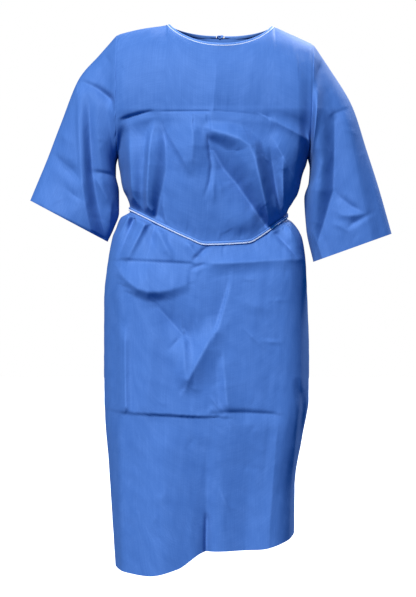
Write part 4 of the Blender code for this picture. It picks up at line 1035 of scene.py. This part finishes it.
class Nodes:
    """A short way to wire a material."""

    def __init__(self, name):
        self.material = bpy.data.materials.new(name)
        self.material.use_nodes = True
        self.tree = self.material.node_tree
        self.shader = self.tree.nodes["Principled BSDF"]

    def add(self, kind, **settings):
        node = self.tree.nodes.new(kind)
        for key, value in settings.items():
            setattr(node, key, value)
        return node

    def link(self, source, target):
        self.tree.links.new(source, target)

    def math(self, operation, *values):
        node = self.add("ShaderNodeMath", operation=operation)
        for value, socket in zip(values, node.inputs):
            if isinstance(value, (int, float)):
                socket.default_value = value
            else:
                self.link(value, socket)
        return node.outputs[0]

    def noise(self, vector, scale, stretch=(1, 1, 1), detail=4.0, rough=0.55):
        mapping = self.add("ShaderNodeMapping")
        mapping.inputs["Scale"].default_value = stretch
        self.link(vector, mapping.inputs["Vector"])
        node = self.add("ShaderNodeTexNoise")
        for socket, value in (("Scale", scale), ("Detail", detail), ("Roughness", rough)):
            node.inputs[socket].default_value = value
        self.link(mapping.outputs[0], node.inputs["Vector"])
        return node.outputs["Fac"]

    def ramp(self, value, *stops):
        node = self.add("ShaderNodeValToRGB")
        while len(node.color_ramp.elements) < len(stops):
            node.color_ramp.elements.new(0.5)
        for element, (place, colour) in zip(node.color_ramp.elements, stops):
            element.position = place
            element.color = (*colour, 1.0)
        self.link(value, node.inputs[0])
        return node.outputs[0]

    def bump(self, height, strength, distance):
        node = self.add("ShaderNodeBump")
        node.inputs["Strength"].default_value = strength
        node.inputs["Distance"].default_value = distance
        self.link(height, node.inputs["Height"])
        self.link(node.outputs[0], self.shader.inputs["Normal"])


def cloth_finish(name, base, deep, pale, dots):
    """Spun-bonded cloth: pressed dots in rows, loose fibres between them, faint streaks and clouds."""
    n = Nodes(name)
    place = n.add("ShaderNodeAttribute", attribute_name="flat").outputs["Vector"]
    parts = n.add("ShaderNodeSeparateXYZ")
    n.link(place, parts.inputs[0])
    u, v, turn = parts.outputs
    waves = [n.math("SINE", n.math("MULTIPLY", value, 2 * math.pi / dots)) for value in (u, v)]
    pressed = n.ramp(n.math("MULTIPLY", *waves), (0.45, (0, 0, 0)), (0.80, (1, 1, 1)))
    fibres = n.noise(place, 1400, (1.0, 0.35, 0.0), 5.0, 0.65)
    streaks = n.noise(place, 420, (1.0, 0.03, 0.0), 3.0)
    threads = n.noise(place, 420, (0.03, 1.0, 0.0), 3.0)
    clouds = n.noise(place, 34, (1.0, 0.8, 0.0), 4.0)
    mix = n.math("MULTIPLY", fibres, 0.40)
    for part, share in ((clouds, 0.26), (streaks, 0.18), (threads, 0.16), (turn, 0.10), (pressed, -0.045)):
        mix = n.math("ADD", mix, n.math("MULTIPLY", part, share))
    n.link(n.ramp(mix, (0.30, deep), (0.50, base), (0.72, pale)), n.shader.inputs["Base Color"])
    rough = n.math("SUBTRACT", 0.66, n.math("MULTIPLY", pressed, 0.14))
    rough = n.math("ADD", rough, n.math("MULTIPLY", n.math("SUBTRACT", fibres, 0.5), 0.12))
    n.link(rough, n.shader.inputs["Roughness"])
    height = n.math("SUBTRACT", n.math("MULTIPLY", fibres, 0.8), n.math("MULTIPLY", pressed, 0.6))
    n.bump(height, 0.35, 0.00025)
    for socket, value in (
        ("Specular IOR Level", 0.26),
        ("Specular Tint", (0.50, 0.70, 1.0, 1.0)),
        ("Sheen Weight", 0.05),
        ("Sheen Roughness", 0.45),
        ("Sheen Tint", (0.55, 0.70, 1.0, 1.0)),
    ):
        n.shader.inputs[socket].default_value = value
    return n.material


def thread_finish():
    """White polyester yarn with its twist."""
    n = Nodes("thread_white")
    place = n.add("ShaderNodeAttribute", attribute_name="flat").outputs["Vector"]
    twist = n.noise(place, 2600, (1.0, 0.5, 0.0), 3.0)
    n.link(n.ramp(twist, (0.30, THREAD_SHADE), (0.60, THREAD)), n.shader.inputs["Base Color"])
    n.link(n.math("ADD", 0.42, n.math("MULTIPLY", twist, 0.2)), n.shader.inputs["Roughness"])
    n.bump(twist, 0.4, 0.0001)
    return n.material


def placed(piece, node, replaced=True):
    """Lets a piece ride with the gown, and stand for that node."""
    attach(piece, "root")
    if replaced:
        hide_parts(node)
    return piece


def ties(label, cloth, size, knot_out, tails, tape_finish, thread, seed):
    """A knot and its two free ends, with their stitches."""
    node = label + "_knot"
    made = [placed(knot(node + "_tape", node, size, tape_finish), node)]
    low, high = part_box(node)
    start = ((low[0] + high[0]) / 2, high[1], low[2] - KNOT_GAP)
    for i, (way, (drift, length)) in enumerate(zip(("right", "left"), tails)):
        node = f"{label}_tail_{way}"
        track = tail_track(cloth, start, knot_out, drift, length)
        made.append(placed(tape(node + "_tape", *track, tape_finish), node))
        made.append(placed(stitches(node + "_stitches", *track, thread, seed + i, TAIL_STITCH), node, False))
    return made


def camera():
    """Level, straight from the front."""
    data = bpy.data.cameras.new("camera")
    data.sensor_fit = "VERTICAL"
    data.sensor_height = 24.0
    data.lens = CAMERA_LENS
    made = linked("camera", data)
    made.location = CAMERA_PLACE
    made.rotation_euler = (math.pi / 2, 0, 0)
    bpy.context.scene.camera = made


def sun(name, toward, strength):
    """A distant soft lamp that shines from a direction."""
    data = bpy.data.lights.new(name, "SUN")
    data.energy = strength
    data.angle = LAMP_SOFTNESS
    linked(name, data).rotation_euler = Vector(toward).to_track_quat("Z", "Y").to_euler()


def surroundings():
    """White to look at, and a soft blue where it lights the folds."""
    world = bpy.data.worlds.new("studio")
    bpy.context.scene.world = world
    world.use_nodes = True
    nodes, links = world.node_tree.nodes, world.node_tree.links
    seen, cast = nodes["Background"], nodes.new("ShaderNodeBackground")
    for background, colour, strength in ((seen, (1, 1, 1), 1.0), (cast, AMBIENT, AMBIENT_STRENGTH)):
        background.inputs["Color"].default_value = (*colour, 1)
        background.inputs["Strength"].default_value = strength
    path = nodes.new("ShaderNodeLightPath")
    mix = nodes.new("ShaderNodeMixShader")
    links.new(path.outputs["Is Camera Ray"], mix.inputs[0])
    links.new(cast.outputs[0], mix.inputs[1])
    links.new(seen.outputs[0], mix.inputs[2])
    links.new(mix.outputs[0], nodes["World Output"].inputs["Surface"])


def pale_floor():
    bpy.ops.mesh.primitive_plane_add(size=30, location=(0, 0, FLOOR_Z))
    floor = bpy.context.object
    floor.name = "floor"
    # The floor's bounce would fill the folds from below
    floor.visible_diffuse = False
    floor.visible_glossy = False
    n = Nodes("floor_pale")
    soft = n.noise(n.add("ShaderNodeNewGeometry").outputs["Position"], 1.5, detail=2.0)
    n.link(n.ramp(soft, (0.3, (0.86, 0.86, 0.87)), (0.7, (0.90, 0.90, 0.90))), n.shader.inputs["Base Color"])
    n.shader.inputs["Roughness"].default_value = 0.8
    floor.data.materials.append(n.material)


camera()
surroundings()
sun("key", KEY_TOWARD, KEY_STRENGTH)
sun("key_behind", BEHIND_TOWARD, BEHIND_STRENGTH)
pale_floor()
bpy.context.scene.view_settings.view_transform = "Standard"

cloth = cloth_finish("cloth_blue", CLOTH, CLOTH_DEEP, CLOTH_PALE, CLOTH_DOTS)
tape_blue = cloth_finish("tape_blue", TAPE, TAPE_DEEP, TAPE_PALE, TAPE_DOTS)
thread = thread_finish()

front = placed(front_panel(cloth), "front")
back_right, back_left, back_grid = back_panels(cloth)
placed(back_right, "back_right")
placed(back_left, "back_left")
sleeve_right = placed(sleeve("sleeve_right_cloth", SLEEVE_RIGHT_RINGS, -1, cloth, 41), "sleeve_right")
sleeve_left = placed(sleeve("sleeve_left_cloth", SLEEVE_LEFT_RINGS, 1, cloth, 57), "sleeve_left")

track = neck_track()
neck = placed(tape("neck_binding_tape", *track, tape_blue), "neck_binding")
neck_thread = stitches("neck_binding_stitches", *track, thread, 3, NECK_STITCH, NECK_STITCH_ROW)
placed(neck_thread, "neck_binding", False)
track = belt_track()
belt = placed(tape("belt_tape", *track, tape_blue), "belt")
belt_thread = placed(stitches("belt_stitches", *track, thread, 4, BELT_STITCH), "belt", False)
neck_ties = ties("neck", back_grid, NECK_KNOT, NECK_KNOT_OUT, NECK_TAILS, tape_blue, thread, 71)
belt_ties = ties("belt", back_grid, BELT_KNOT, BELT_KNOT_OUT, BELT_TAILS, tape_blue, thread, 81)
